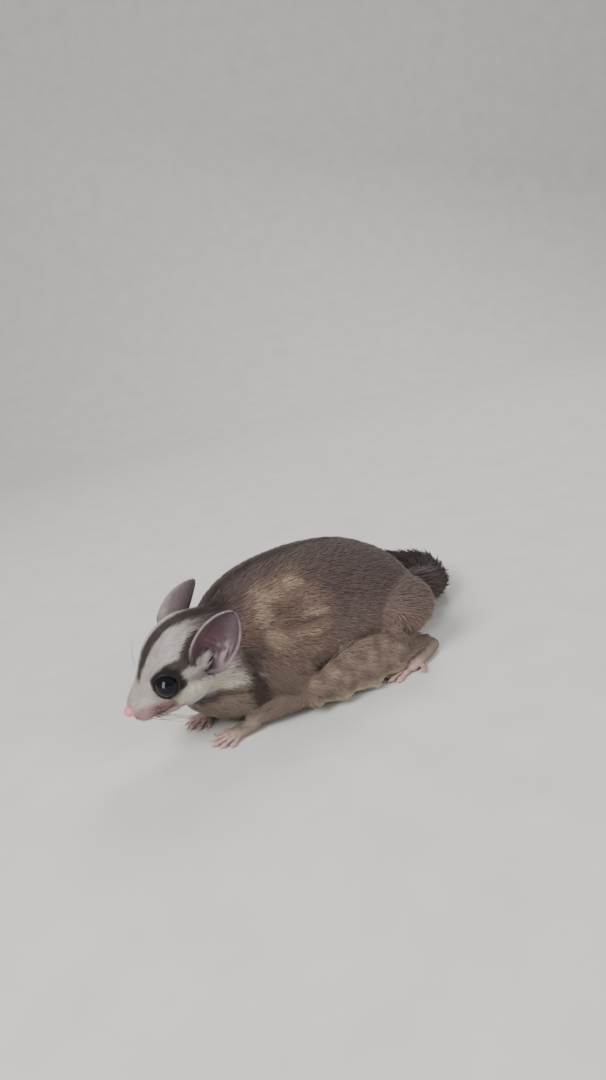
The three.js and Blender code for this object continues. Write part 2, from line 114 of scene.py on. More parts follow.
# Along the middle of the tail: x, y, z, half the thickness of its coat, and its solid share.
TAIL = (
    (-110, 0, 21, 7, 0.9), (-127, -1, 15.5, 8, 0.75), (-142, -6, 11, 9, 0.5),
    (-151, -19, 10, 9.8, 0.5), (-147, -35.5, 10, 10.2, 0.5), (-133, -48, 10, 10.3, 0.5),
    (-113, -54, 10, 10.3, 0.5), (-91, -55.5, 10, 10.2, 0.5), (-69, -54.5, 10, 9.8, 0.5),
    (-49, -51, 9.5, 8.6, 0.45), (-31, -44.5, 8, 4, 0.35),
)
# Limbs: x, y, z, half the width, half the height.
UPPER_ARM = ((-35, 12.5, 31, 9, 11), (-41, 17, 21, 8.5, 9.5), (-47, 20.5, 10, 5.6, 6))
FOREARM = (
    (-47, 20.5, 8, 5, 5), (-36, 18, 6.8, 4.4, 4.4), (-24, 13.6, 4.4, 3, 2.8), (-21, 12.6, 3.2, 2.4, 2),
)
KNEE = ((-97, 20, 18, 10, 13), (-86, 24.5, 13, 7.5, 9), (-79, 26, 10, 5, 6))
SHIN = ((-80, 26.5, 8, 4.6, 5), (-92, 28, 6.4, 4.3, 4.5), (-104, 28, 5, 3.6, 3.8))
FLANK = (
    (-42, 24.5, 8, 1.5, 4), (-52, 27, 11, 2.6, 8), (-66, 29.5, 12.5, 3.2, 10.5),
    (-80, 30.5, 11.5, 3, 9.5), (-92, 30, 9, 2.2, 7),
)
# Markings on the head and neck, and a line of painted shade under the jaw, as lines in the head's own
# frame; and on the shoulder in the animal's, a dark wedge that is partly painted shade.
EYE_STRIPE = (
    (-2, 9.8, 6.8), (-6.4, 12.2, 6.2), (-9.3, 12.4, 7.2), (-12.4, 11.6, 8.8), (-17, 10.5, 9.6),
)
CHEEK_BAND = (
    (7.2, 5.5, -8.3), (1.3, 11.5, -4.9), (-4.2, 13.6, -4.2), (-7.8, 13.7, -7.2), (-12, 10.5, -11.8),
    (-18.6, 12.5, -14.9), (-22.2, 13.6, -16.7),
)
# A line of painted shade where the jaw meets the neck.
JAW_SHADE_LINE = (
    (5, 6, -12.6), (1.4, 6.4, -13.8), (-2.3, 7.8, -14.2), (-5.9, 9.3, -14.8), (-9.9, 10.9, -16),
    (-13.5, 12.3, -18.6), (-16.6, 13.4, -21.6),
)
# The dark wedge at the shoulder: partly the membrane's dark front edge, partly painted shade between
# neck and arm.
SHOULDER = (
    (-24.6, 17.6, 34), (-24.6, 18, 28), (-25, 17.1, 23), (-25.6, 16.8, 17.5), (-26.5, 16.4, 11),
    (-27, 17.5, 6),
)
MOUTH_SKIN = ((5, 8, -6.4), (9, 6, -5.6), (13, 4.4, -3.4), (17, 1, -2))
# Folds of the membrane on the flank: x, z, half their length and height, slant, and how far they rise.
FOLDS = (
    (-35.5, 45, 3.2, 8.5, 0.2, 1), (-37, 34.5, 4.5, 3.6, 0, 0.7), (-43, 50, 3.2, 2.4, 0, 0.5),
    (-51.5, 51.5, 4.8, 2.6, 0, 1), (-54.5, 39, 6.5, 1.5, 0.1, 0.9), (-52, 32.5, 6.5, 1.5, 0.1, 1),
    (-43.5, 42.5, 5, 3.2, 0.1, -1.1), (-46, 37, 5.5, 1.5, 0.1, -1), (-55, 35.8, 5, 1.1, 0.1, -0.7),
)
LIP = ((1.5, -7.4), (5.5, -8.1), (10.5, -8.1), (14.4, -6.7), (16.2, -5.7))
EAR_TUFT = (-12.4, 12.8, 1)
LOBE = (
    (-6, 12, -4.6, 0.8, 0.8), (-9.5, 13.6, -5.2, 1.5, 1.3), (-14, 14.4, -4.6, 1.6, 1.4),
    (-18, 14.4, -1.5, 1, 1),
)

# How the coat grows on each kind of flesh: depth, length and width of a tuft in mm, tufts per mm2.
COAT = {
    "trunk": (1.9, 6.4, 0.44, 4.6),
    "thigh": (1.7, 5.8, 0.42, 4.6),
    "arm": (1.3, 4.6, 0.4, 4.6),
    "shank": (0.8, 3, 0.34, 5.2),
    "membrane": (0.7, 3.6, 0.4, 5),
    "head": (1, 3.6, 0.36, 6.5),
    "tail": (0.15, 15, 0.65, 2.6),
    "ear": (0, 1, 0.14, 2),
    "paw": (0, 1.2, 0.17, 6),
    "nose": (0, 0.5, 0.1, 0),
}
KINDS = tuple(COAT)


def turn(axis, degrees):
    return np.array(Matrix.Rotation(math.radians(degrees), 3, axis))


HEAD = turn("Z", HEAD_YAW) @ turn("Y", HEAD_PITCH) @ turn("X", -HEAD_ROLL)
NOSE = turn("Y", 20)
BODY = turn("Z", 180 + HEADING)


def from_head(h):
    return np.asarray(h, float) @ HEAD.T + (0, 0, HEAD_HEIGHT)


def to_head(p):
    return (np.asarray(p, float) - (0, 0, HEAD_HEIGHT)) @ HEAD


# The solids' own left eye says where the animal stands in the part.
eye_low, eye_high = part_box("eye_left")
PLACE = np.array((eye_low + eye_high) / 2) / MM - BODY @ from_head(EYE_AT)


def to_part(p):
    return (np.asarray(p, float) @ BODY.T + PLACE) * MM


def from_part(q):
    return (np.asarray(q, float) / MM - PLACE) @ BODY


def unit(v):
    v = np.asarray(v, float)
    return v / np.maximum(np.linalg.norm(v, axis=-1, keepdims=True), 1e-9)


def ease(low, high, x):
    t = np.clip((np.asarray(x, float) - low) / (high - low), 0, 1)
    return t * t * (3 - 2 * t)


def hump(x, width):
    return np.exp(-((np.asarray(x, float) / width) ** 2))


def mix(a, b, share):
    share = np.asarray(share, float)[..., None]
    return np.asarray(a, float) * (1 - share) + np.asarray(b, float) * share


def mirrored(points, way):
    return np.asarray(points, float) * (1, way, 1)


# Points of both sides, laid on the left one.
def on_left(points):
    return points * (1, 0, 1) + np.abs(points[:, 1:2]) * (0, 1, 0)


def of_kind(kinds, *names):
    return np.isin(kinds, [KINDS.index(name) for name in names])


# A smooth row of numbers through stations, read at shares t of the row's length.
def along(stations, t):
    rows = np.array(stations, float)
    place = np.clip(np.atleast_1d(t), 0, 1) * (len(rows) - 1)
    i = np.minimum(place.astype(int), len(rows) - 2)
    f = (place - i)[:, None]
    a, b, d, e = (rows[np.clip(i + k, 0, len(rows) - 1)] for k in (-1, 0, 1, 2))
    start, end = (d - a) / 2, (e - b) / 2
    return b + f * (start + f * (3 * (d - b) - 2 * start - end + f * (2 * (b - d) + start + end)))


# The nearest distance of each point to a line of points, and the share of the line where that is.
def to_line(points, line):
    line = np.asarray(line, float)
    best = np.full(len(points), np.inf)
    share = np.zeros(len(points))
    for k, (a, b) in enumerate(zip(line[:-1], line[1:])):
        way = b - a
        t = np.clip((points - a) @ way / (way @ way), 0, 1)
        d = np.linalg.norm(points - a - t[:, None] * way, axis=1)
        share = np.where(d < best, (k + t) / (len(line) - 1), share)
        best = np.minimum(best, d)
    return best, share


# Soft unevenness between -1 and 1, from waves that cross each other.
def uneven(p, size, seed):
    draw = np.random.default_rng(seed)
    total = np.zeros(len(p))
    for _ in range(7):
        way = unit(draw.normal(size=3)) * draw.uniform(0.6, 1.6) * 2 * math.pi / size
        total += np.sin(p @ way + draw.uniform(0, 6.3))
    return total / 3.5


# A closed form over rings of points, with the kind of flesh it is and the way its coat lies.
def loft(rings, kind, lies=None):
    rings = np.asarray(rings, float)
    m, n = rings.shape[:2]
    k = np.arange(n)
    j = (k + 1) % n
    base = np.arange(m - 1)[:, None] * n
    walls = np.stack([base + k, base + j, base + n + j, base + n + k], -1).reshape(-1, 4)
    pole, last = m * n, (m - 1) * n
    caps = [(pole, b, a) for a, b in zip(k, j)]
    caps += [(pole + 1, last + a, last + b) for a, b in zip(k, j)]
    points = np.vstack([rings.reshape(-1, 3), rings[0].mean(0), rings[-1].mean(0)])
    faces = [tuple(f) for f in walls.tolist()] + [tuple(int(i) for i in f) for f in caps]
    middles = rings.mean(1)
    if lies is None:
        lies = unit(np.gradient(middles, axis=0))
    lies = np.broadcast_to(lies, (m, 3))
    lie = np.vstack([np.repeat(lies, n, 0), lies[0], lies[-1]])
    return {"points": points, "faces": faces, "kind": kind, "lie": lie}


def body(stations, steps, sides, kind, fullness=1.0, low=0.0, floor=-1e9):
    x, top, bottom, width = along(stations, np.linspace(0, 1, steps + 1)).T[:, :, None]
    a = np.arange(sides) / sides * 2 * math.pi
    c, s = np.cos(a), np.sin(a)
    swell = (np.abs(c) ** (2 * fullness) + np.abs(s) ** (2 * fullness)) ** (-0.5 / fullness)
    y = width * c * swell * (1 - low * s)
    z = np.maximum((top + bottom) / 2 + (top - bottom) / 2 * s * swell, floor)
    return loft(np.stack(np.broadcast_arrays(x, y, z), -1), kind, np.array([[-1.0, 0, 0]]))


def limb(points, kind, sides=24, steps=24, up=(0, 0, 1), floor=-1e9):
    rows = along(points, np.linspace(0, 1, steps + 1))
    middle, sizes = rows[:, :3], rows[:, 3:5]
    way = unit(np.gradient(middle, axis=0))
    side = unit(np.cross(np.array(up, float), way))
    over = np.cross(way, side)
    a = (np.arange(sides) / sides * 2 * math.pi)[:, None]
    rings = []
    ends = [0.35, 0.7, 0.92]
    for i, shrink, slide in (
        [(0, e, -math.sqrt(1 - e * e)) for e in ends]
        + [(i, 1, 0) for i in range(steps + 1)]
        + [(steps, e, math.sqrt(1 - e * e)) for e in reversed(ends)]
    ):
        centre = middle[i] + way[i] * slide * sizes[i].min()
        wide, tall = side[i] * sizes[i, 0] * shrink, over[i] * sizes[i, 1] * shrink
        ring = centre + wide * np.cos(a) + tall * np.sin(a)
        ring[:, 2] = np.maximum(ring[:, 2], floor)
        rings.append(ring)
    return loft(rings, kind)


def ball(at, radii, kind, lie, across=40, down=28):
    v = np.linspace(0.03, math.pi - 0.03, down)[:, None]
    u = (np.arange(across) / across * 2 * math.pi)[None, :]
    places = np.cos(v), np.sin(v) * np.cos(u), np.sin(v) * np.sin(u)
    unit_ball = np.stack(np.broadcast_arrays(*places), -1)
    return loft(unit_ball * radii + at, kind, np.array([lie], float))


def on_head(form):
    return {**form, "points": from_head(form["points"]), "lie": form["lie"] @ HEAD.T}


def to_side(form, way):
    if way > 0:
        return form
    flipped = {key: mirrored(form[key], -1) for key in ("points", "lie")}
    return {**form, **flipped, "faces": [tuple(reversed(f)) for f in form["faces"]]}


# Flesh

def head_forms():
    back = (-1, 0, 0)
    forms = [body(SKULL, 80, 64, "head", 1.08, 0.05), body(JAW, 40, 40, "head", 1.1)]
    for _, way in SIDES:
        forms.append(ball((-5.5, way * 8.6, -6), (9, 5.6, 5.8), "head", back))
        forms.append(ball((12.6, way * 3.2, -4.3), (4, 3.1, 3), "head", back))
        forms.append(to_side(limb(LOBE, "head", steps=20), way))
    return [on_head(form) for form in forms]


def membrane_form():
    steps, sides = 90, 28
    t = np.linspace(0, 1, steps + 1)
    x, y, z, thick, tall = along(FLANK, t).T[:, :, None]
    wave = np.sin(t * 4 * 2 * math.pi)[:, None] + 0.35 * np.sin(t * 11 * 2 * math.pi + 1)[:, None]
    a = np.arange(sides) / sides * 2 * math.pi
    hang = (1 - np.sin(a)) / 2
    out = y + thick * np.cos(a) + hang * (1.5 + 1.2 * wave)
    up = np.maximum(z + tall * np.sin(a), 0.5 + 0.3 * wave)
    rings = np.stack(np.broadcast_arrays(x, out, up), -1)
    return loft(rings, "membrane", unit([-0.75, 0.15, -0.6])[None])


def tail_form():
    rows = along(TAIL, np.linspace(0, 1, 121))
    core = rows[:, 3] * rows[:, 4]
    return limb(np.column_stack([rows[:, :3], core, core]), "tail", sides=24, steps=150)


# How far the tail's long hair rises from its core to the outside of the coat.
def tail_rise(points):
    _, share = to_line(points, [row[:3] for row in TAIL])
    rises = [thick * (1 - solid) for *_, thick, solid in TAIL]
    return np.interp(share, np.linspace(0, 1, len(TAIL)), rises)


def body_forms():
    forms = [body(TRUNK, 80, 72, "trunk", 1.12, 0.1, 0), tail_form(), *head_forms()]
    for _, way in SIDES:
        one_side = (
            limb(UPPER_ARM, "arm", up=(1, 0, 0)),
            limb(FOREARM, "shank"),
            ball((-98, 17.5, 22), (17, 17.5, 12.5), "thigh", (-0.7, 0, -0.7)),
            limb(KNEE, "thigh", floor=0.6),
            limb(SHIN, "shank", floor=0.4),
            membrane_form(),
        )
        forms += [to_side(form, way) for form in one_side]
    return forms


# Along a digit, with knuckles and a round pad at its tip: share of its reach, height, thickness.
DIGIT = (
    (-0.25, 1, 0.95), (0.12, 1.3, 0.82), (0.36, 1.5, 0.98), (0.55, 1.25, 0.74), (0.76, 1.05, 0.86),
    (0.9, 0.98, 1.04), (1, 1, 0.72),
)


# A paw: the forms of its sole and digits, and the root and direction of each claw.
def paw(sole, digits, thick):
    forms = [limb(sole, "paw", sides=20, steps=16, floor=0.05)]
    claws = []
    for root, bearing, reach in digits:
        way = np.array([math.cos(math.radians(bearing)), math.sin(math.radians(bearing))])
        rows = [
            (*(np.array(root) + way * out * reach), z * thick, r * thick, r * thick * 0.95)
            for out, z, r in DIGIT
        ]
        forms.append(limb(rows, "paw", sides=14, steps=26, floor=0.05))
        tip = np.array(root) + way * reach * 0.97
        claws.append((np.array([*tip, thick * 1.25]), np.array([*way, 0.0])))
    return forms, claws


def hand():
    digits = [
        ((-16 - abs(k) * 0.9, 10.8 + k * 1.35), -8 + k * 16, 15 * (0.53 - 0.03 * k * k))
        for k in range(-2, 3)
    ]
    sole = ((-25, 13.7, 3.2, 2.8, 2.4), (-20.5, 12.2, 2.4, 3.6, 2.2), (-16.5, 11, 1.8, 3.5, 1.7))
    return paw(sole, digits, 1.05)


def foot():
    digits = [
        ((-87 - abs(k) * 0.8, 32.2 + k * 1.6), 5 + k * 9, 24 * (0.4 - 0.02 * k * k))
        for k in range(-2, 2)
    ]
    digits.append(((-93, 35.6), 52, 24 * 0.2))
    sole = ((-106, 29, 3, 3, 2.8), (-98, 31, 2.4, 3.8, 2.3), (-88, 32.2, 2, 4.2, 1.9))
    return paw(sole, digits, 1.15)


# An ear's own directions: the way it opens, across it, and from its root to its tip.
def ear_ways():
    axis, opens = unit(EAR_AXIS), np.array(EAR_OPENS, float)
    opens = unit(opens - (opens @ axis) * axis)
    return opens, np.cross(axis, opens), axis


# An ear: a leaf of skin rolled into a cup at its root, with a rolled rim and ridges across its inside.
def ear_form(way):
    steps, half = 72, 26
    k = np.arange(-half, half + 1) / half
    rings = []
    for t in np.linspace(0, 1, steps + 1):
        height, width, cup = along(EAR, t)[0]
        roll = math.radians(cup)
        radius = width * EAR_WIDTH / 2 / math.sin(min(roll, math.pi / 2))
        z = height * EAR_HEIGHT
        rim = 0.3 * hump(np.abs(k) - 0.95, 0.06)
        ridges = sum(0.3 * hump(height - at, 0.022) for at in (0.2, 0.3, 0.4, 0.5))
        ridges = ridges * hump(k + 0.15, 0.45)
        fold = 0.45 * hump(k + 0.6, 0.1) * ease(0.05, 0.3, height) * (1 - ease(0.6, 0.85, height))
        thick = 0.55 + rim + 0.35 * (1 - ease(0, 0.35, height))
        outer, inner = radius + 0.25 * rim, radius - thick - ridges - fold

        def arc(r, k):
            a = k * roll
            front = radius - r * np.cos(a) - 0.008 * z * z
            return np.stack([front, r * np.sin(a), np.full(len(k), z)], -1)

        rings.append(np.vstack([arc(outer, k), arc(inner[::-1], k[::-1])]))
    ways = ear_ways()
    rings = np.array(rings) @ np.stack(ways, 1).T + EAR_ROOT
    return on_head(to_side(loft(rings, "ear", ways[2][None]), way))


# How far points of the nose pad are from the nearer nostril, where 1 is its edge.
def nostril(p):
    side = np.abs(p[:, 1]) - 1.25
    return np.hypot(side / 0.52, (p[:, 2] + 0.15 - 0.25 * side) / 0.34)


# The nose: a moist pad with two comma nostrils and a groove below.
def nose_form():
    form = ball((0, 0, 0), (1.95, 2.25, 1.75), "nose", (-1, 0, 0), across=76, down=54)
    p = form["points"]
    way = unit(p)
    p = p - way * (0.85 * hump(nostril(p), 1))[:, None] * (p[:, :1] > 0)
    wing = np.hypot(np.abs(p[:, 1]) - 1.55, p[:, 2] - 0.3)
    p = p + way * (0.18 * hump(wing, 0.6))[:, None]
    p = p - way * (0.4 * hump(p[:, 1], 0.16) * ease(0.4, -0.5, p[:, 2]) * (p[:, 0] > 0))[:, None]
    form["points"] = p @ NOSE.T + NOSE_AT
    return on_head(form)


def mesh_of(name, points, faces):
    mesh = bpy.data.meshes.new(name)
    mesh.from_pydata([tuple(p) for p in np.asarray(points).tolist()], [], faces)
    mesh.update()
    return mesh


def joined(forms):
    points, faces, start = [], [], 0
    for form in forms:
        points.append(form["points"])
        faces += [tuple(i + start for i in f) for f in form["faces"]]
        start += len(form["points"])
    return np.vstack(points), faces


def shown(obj):
    bpy.context.scene.collection.objects.link(obj)
    return obj


def object_of(name, points, faces):
    return shown(bpy.data.objects.new(name, mesh_of(name, points, faces)))


# The mesh that an object's modifiers give it.
def settled(obj):
    bpy.context.view_layer.update()
    made = bpy.data.meshes.new_from_object(obj.evaluated_get(bpy.context.evaluated_depsgraph_get()))
    old = obj.data
    obj.modifiers.clear()
    obj.data = made
    bpy.data.meshes.remove(old)
    return obj


def facing_out(obj):
    bm = bmesh.new()
    bm.from_mesh(obj.data)
    bmesh.ops.recalc_face_normals(bm, faces=bm.faces)
    if bm.calc_volume(signed=True) < 0:
        bmesh.ops.reverse_faces(bm, faces=bm.faces)
    bm.to_mesh(obj.data)
    bm.free()
    return obj


def one_shell(name, forms, voxel):
    obj = object_of(name, *joined(forms))
    shell = obj.modifiers.new("shell", "REMESH")
    shell.mode = "VOXEL"
    shell.voxel_size = voxel
    return settled(obj)


def points_of(mesh, name="co"):
    out = np.zeros(len(mesh.vertices) * 3, np.float32)
    if name == "co":
        mesh.vertices.foreach_get("co", out)
    else:
        mesh.vertex_normals.foreach_get("vector", out)
    return out.reshape(-1, 3).astype(float)


def put_points(mesh, points):
    mesh.vertices.foreach_set("co", np.asarray(points, np.float32).ravel())
    mesh.update()


def edges_of(mesh):
    out = np.zeros(len(mesh.edges) * 2, np.int32)
    mesh.edges.foreach_get("vertices", out)
    return out.reshape(-1, 2)


# Values on the points of a mesh, evened out with their neighbours'.
def evened(values, edges, rounds):
    values = np.array(values, float)
    flat = values.reshape(len(values), -1)
    a, b = edges.T
    n = len(flat)
    count = np.maximum(np.bincount(a, minlength=n) + np.bincount(b, minlength=n), 1)
    for _ in range(rounds):
        for c in range(flat.shape[1]):
            column = flat[:, c]
            total = np.bincount(a, column[b], n) + np.bincount(b, column[a], n)
            flat[:, c] = column + 0.5 * (total / count - column)
    return flat.reshape(values.shape)


# For points on the skin: the kind of flesh below each and the way the coat lies there.
def traced(points, forms):
    source = np.vstack([form["points"] for form in forms])
    kinds = [np.full(len(form["points"]), KINDS.index(form["kind"])) for form in forms]
    lies = np.vstack([form["lie"] for form in forms])
    tree = KDTree(len(source))
    for i, p in enumerate(source):
        tree.insert(p, i)
    tree.balance()
    nearest = np.array([tree.find(p)[1] for p in points])
    return np.concatenate(kinds)[nearest], lies[nearest]


# The coat's measures, as in COAT, at points of the skin.
def coat_sizes(points, kinds, edges):
    sizes = np.array([COAT[kind] for kind in KINDS])[kinds]
    h = to_head(points)
    head = of_kind(kinds, "head")
    back = ease(8, -24, h[:, 0])
    face = np.stack([0.3 + 1.2 * back, 1 + 3.4 * back, 0.17 + 0.2 * back, 12 - 5.5 * back], -1)
    sizes[head] = face[head]
    trunk = of_kind(kinds, "trunk")
    neck = trunk * ease(-45, -22, points[:, 0])
    sizes = mix(sizes, (1.5, 4.4, 0.38, 6), neck)
    folds, _ = flank_folds(points)
    sizes = mix(sizes, (1.1, 4, 0.4, 5), trunk * folds)
    tip = ease(18, 4, np.hypot(*(points[:, :2] - TAIL[-1][:2]).T)) * of_kind(kinds, "tail")
    sizes = mix(sizes, (0.1, 8, 0.42, 3.4), tip)
    under = ease(9, 2, points[:, 2]) * trunk
    sizes[:, 0] = sizes[:, 0] * (1 - 0.6 * under)
    return evened(sizes, edges, 14)


# Whether each point is by the mouth, and how far it is above the line of the lips.
def by_mouth(h):
    here = ease(0.5, 3, h[:, 0]) * (h[:, 2] < -4)
    return here, h[:, 2] - np.interp(h[:, 0], *zip(*LIP))


# How near each point is to the line of the mouth.
def mouth_line(h, wide):
    here, above = by_mouth(h)
    return hump(above, wide) * here


# The sockets and lids round both eyes, the line of the mouth and its lips.
def carved(h, out):
    for _, way in SIDES:
        eye = mirrored(EYE_AT, way)
        look = unit(mirrored(EYE_LOOK, way))
        rise = unit(np.array([0, 0, 1]) - look[2] * look)
        fore = np.cross(rise, look) * way
        q = h - eye
        r = np.linalg.norm(q, axis=1)
        angle = np.degrees(np.arccos(np.clip(q @ look / np.maximum(r, 1e-6), -1, 1)))
        flat = unit(q - (q @ look)[:, None] * look)
        rim = LID_ANGLE + 10 * (flat @ fore) ** 4 - 5 * np.maximum(flat @ rise, 0)
        u = (angle - rim) / LID_WIDTH
        near = (r < 8) & (angle < 120)
        lid = LID + 0.75 * hump(u - 0.5, 0.42)
        tucked = np.where(u < 0, np.minimum(r, SOCKET + 0.4 * np.clip(1 + u, 0, 1)), r)
        raised = np.maximum(r, lid)
        share = (1 - ease(1, 2, u)) * (u >= 0)
        crease = 0.25 * hump(u - 1.7, 0.3)
        new = tucked * (u < 0) + (u >= 0) * (r + (raised - r) * share - crease)
        new = np.where(near, new, r)
        h = eye + q / np.maximum(r, 1e-6)[:, None] * new[:, None]
    mouth, above = by_mouth(h)
    depth = 0.5 * hump(above, 0.24) - 0.2 * hump(above - 0.9, 0.45) - 0.15 * hump(above + 0.9, 0.45)
    h = h - out * (depth * mouth)[:, None]
    cleft = 0.4 * hump(h[:, 1], 0.22) * ease(13.5, 15, h[:, 0])
    cleft = cleft * ease(-3.5, -4.5, h[:, 2]) * (above > 0)
    return h - out * cleft[:, None]


# The gathered membrane's folds on the flank: how far among them each point is, and its height there.
def flank_folds(p):
    x, z = p[:, 0], p[:, 2]
    inside = np.hypot((x + 45) / 17, (z - 41) / 16) + 0.12 * uneven(p, 11, 8)
    share = ease(1.25, 0.7, inside) * ease(8, 12, np.abs(p[:, 1]))
    wave = 0.22 * uneven(p, 6, 6)
    for fold_x, fold_z, long, tall, slant, rise in FOLDS:
        dx, dz = x - fold_x, z - fold_z
        away = np.hypot((dx + slant * dz) / long, (dz - slant * dx) / tall)
        wave = wave + rise * hump(away, 1)
    return share, np.clip(wave, -1, 1)


def srgb(*values):
    v = np.array(values, float) / 255
    return np.where(v <= 0.04045, v / 12.92, ((v + 0.055) / 1.055) ** 2.4)


# The shades of small places, claws and whiskers, which no setting changes; those of the mouth and
# nostrils are painted shade.
SHADES = {
    "mouth": srgb(74, 50, 50),
    "nostril": srgb(66, 40, 42),
    "ear_middle": srgb(112, 78, 85),
    "ear_root": srgb(62, 48, 50),
    "eye_cloud": srgb(20, 18, 26),
    "claw": srgb(196, 176, 150),
    "claw_root": srgb(120, 96, 78),
    "whisker": srgb(60, 52, 48),
    "whisker_root": srgb(30, 26, 25),
}


# The colour that coat and skin share at points of the body, how bare each is, and how far the nose is.
def coat_colours(p, kinds, edges, out):
    c = bpy.context.scene.glider_colours
    back, flank, light, belly, dark, face, cheek, fringe, tail = (
        np.array(getattr(c, name))
        for name in ("back", "flank", "light", "belly", "stripe", "face", "cheek", "fringe", "tail")
    )
    h = to_head(p)
    hs = on_left(h)
    blotch = uneven(p, 14, 3)
    fine = uneven(p, 3.2, 4)

    def is_kind(*names, rounds=12):
        return evened(of_kind(kinds, *names), edges, rounds)

    def near(line, narrow, wide, soft):
        distance, share = to_line(hs, line)
        width = narrow + (wide - narrow) * share
        return ease(width + soft, width - soft, distance + 0.25 * fine), share

    # The body: dark above, browner on the sides, cream below and on the folds of the membrane, with
    # painted shade in the troughs between the folds.
    colour = mix(flank, back, ease(18, 44, p[:, 2] + 3 * blotch))
    colour = mix(colour, belly, ease(13, 5, p[:, 2] + 1.5 * blotch) * ease(0.3, -0.4, out[:, 2]))
    throat = ease(-34, -22, p[:, 0]) * ease(28, 19, p[:, 2] + blotch)
    colour = mix(colour, mix(flank * 0.95, belly, 0.22), throat * 0.85)
    colour = mix(colour, flank * 0.94, is_kind("arm", "shank") * 0.8)
    share, wave = flank_folds(p)
    warm = flank * (1.02, 0.96, 0.9)
    folds = mix(warm, light, 0.9 * ease(0.05, 0.85, wave + 0.15 * fine))
    # Painted shade darkens the troughs between the raised folds.
    folds = mix(folds, warm * 0.72, ease(-0.1, -0.8, wave + 0.15 * fine))
    colour = mix(colour, folds, share * 0.85)
    wing = is_kind("membrane", rounds=8)
    edge = ease(8, 3, p[:, 2])
    wing_colour = mix(flank * 0.9, light, np.clip(0.25 + 0.3 * uneven(p, 8, 14), 0, 1))
    colour = mix(colour, mix(wing_colour, fringe, edge * 0.8), wing)
    stripe = hump(p[:, 1] + 0.6 * blotch, 3) * ease(24, 36, p[:, 2]) * ease(-4, -22, p[:, 0])
    colour = mix(colour, dark, 0.8 * stripe * (1 - ease(-100, -120, p[:, 0])))

    # The head: pale, with a dark line along its middle and one from each eye to the ear.
    front = ease(-27, -17, h[:, 0] - 0.2 * h[:, 2])
    onto_head = is_kind("head", "ear", "nose", rounds=10) * front
    skull = mix(face, face * 0.88, ease(0.2, 0.8, blotch))
    skull = mix(skull, back * 1.1, ease(-15, -25, h[:, 0] - 0.25 * h[:, 2]) * 0.6)
    pad = np.linalg.norm((hs - (10.6, 5.2, -0.4)) / (3.4, 2.6, 2.4), axis=1)
    skull = mix(skull, np.minimum(face * 1.2, 1), ease(1.5, 0.7, pad))
    lash, _ = near(EYE_STRIPE, 2.6, 2.9, 0.8)
    skull = mix(skull, dark * 1.25, 0.93 * lash)
    q = hs - EYE_AT
    way = unit(q)
    behind, above, below = (np.clip(v, 0, 1) for v in (-way[:, 0], way[:, 2], -way[:, 2]))
    ring = 5.5 + 1.7 * behind + 0.8 * above + 0.3 * below
    far = np.linalg.norm(q, axis=1)
    skull = mix(skull, dark * 0.7, 0.97 * ease(0.6, -0.6, far - ring + 0.2 * fine))
    skull = mix(skull, dark * 0.3, ease(5.7, 5.1, far))
    tuft = np.linalg.norm(hs - EAR_TUFT, axis=1)
    skull = mix(skull, np.minimum(face * 1.12, 1), ease(4, 2.4, tuft))
    lobe = np.linalg.norm((hs - (-8.5, 13.6, -2.6)) / (1.3, 1, 1), axis=1)
    skull = mix(skull, np.array(c.lobe), 0.85 * ease(4.2, 2.4, lobe))
    colour = mix(colour, skull, onto_head)
    middle_width = 1.5 + 1.6 * ease(8, -4, h[:, 0])
    aside = np.abs(h[:, 1] + 0.3 * blotch) + 0.25 * fine
    middle = ease(middle_width + 0.8, middle_width - 0.8, aside)
    middle = middle * ease(9.5, 6, h[:, 0]) * (h[:, 2] > -1)
    middle = middle * is_kind("head", "trunk", rounds=4) * ease(-36, -30, h[:, 0])
    colour = mix(colour, dark, 0.93 * middle)

    # The cheek band runs on along the neck, where painted shade darkens it, with a line of painted
    # shade below it under the jaw, to a dark wedge at the shoulder that is partly painted shade.
    soft = is_kind("head", "trunk", rounds=3)
    band, share = near(CHEEK_BAND, 2.3, 3.3, 0.9)
    # The band darkens towards its end on the neck: painted shade.
    colour = mix(colour, mix(cheek, cheek * 0.8, share), 0.92 * band * soft)
    # Painted shade: a dark line where the jaw meets the neck.
    line, share = near(JAW_SHADE_LINE, 2.3, 0.8, 0.9)
    line = (0.9 - 0.4 * share) * line * soft * ease(-10.4, -12, h[:, 2])
    colour = mix(colour, dark * 1.1, line)
    # The dark wedge is partly the membrane's dark front edge and partly painted shade between neck and
    # arm.
    wedge, share = to_line(on_left(p), SHOULDER)
    width = 1.7 + 2.5 * ease(0.1, 0.6, share)
    wedge = 0.85 * ease(width + 1, width - 1, wedge + 0.4 * fine)
    colour = mix(colour, dark * 0.9, wedge * is_kind("trunk", "arm", rounds=4))

    # Thin-haired pinkish skin round the mouth, the bare lips, and painted shade along the line of the
    # mouth.
    mouth, _ = to_line(hs, MOUTH_SKIN)
    head = is_kind("head", rounds=2)
    colour = mix(colour, np.array(c.muzzle), 0.95 * ease(4.2, 1.8, mouth + 0.3 * fine) * head)
    tip = np.linalg.norm(h - np.array(NOSE_AT) + (1.6, 0, 0), axis=1)
    lips = ease(4.4, 3, tip)
    lip_line = hump(by_mouth(h)[1], 0.8) * ease(6, 9, h[:, 0]) * (h[:, 2] < -3)
    bare = np.clip(np.maximum(lips, 0.7 * lip_line), 0, 1) * head
    colour = mix(colour, np.array(c.lips), bare * 0.9)
    # Painted shade along the carved line of the mouth.
    colour = mix(colour, SHADES["mouth"], 0.9 * mouth_line(h, 0.42) * of_kind(kinds, "head"))

    tail = mix(back, tail, ease(-114, -146, p[:, 0] - 0.5 * p[:, 1]))
    colour = mix(colour, tail, is_kind("tail", rounds=20))
    colour = np.clip(colour * (1 + 0.06 * fine + 0.05 * blotch)[:, None], 0, 1)

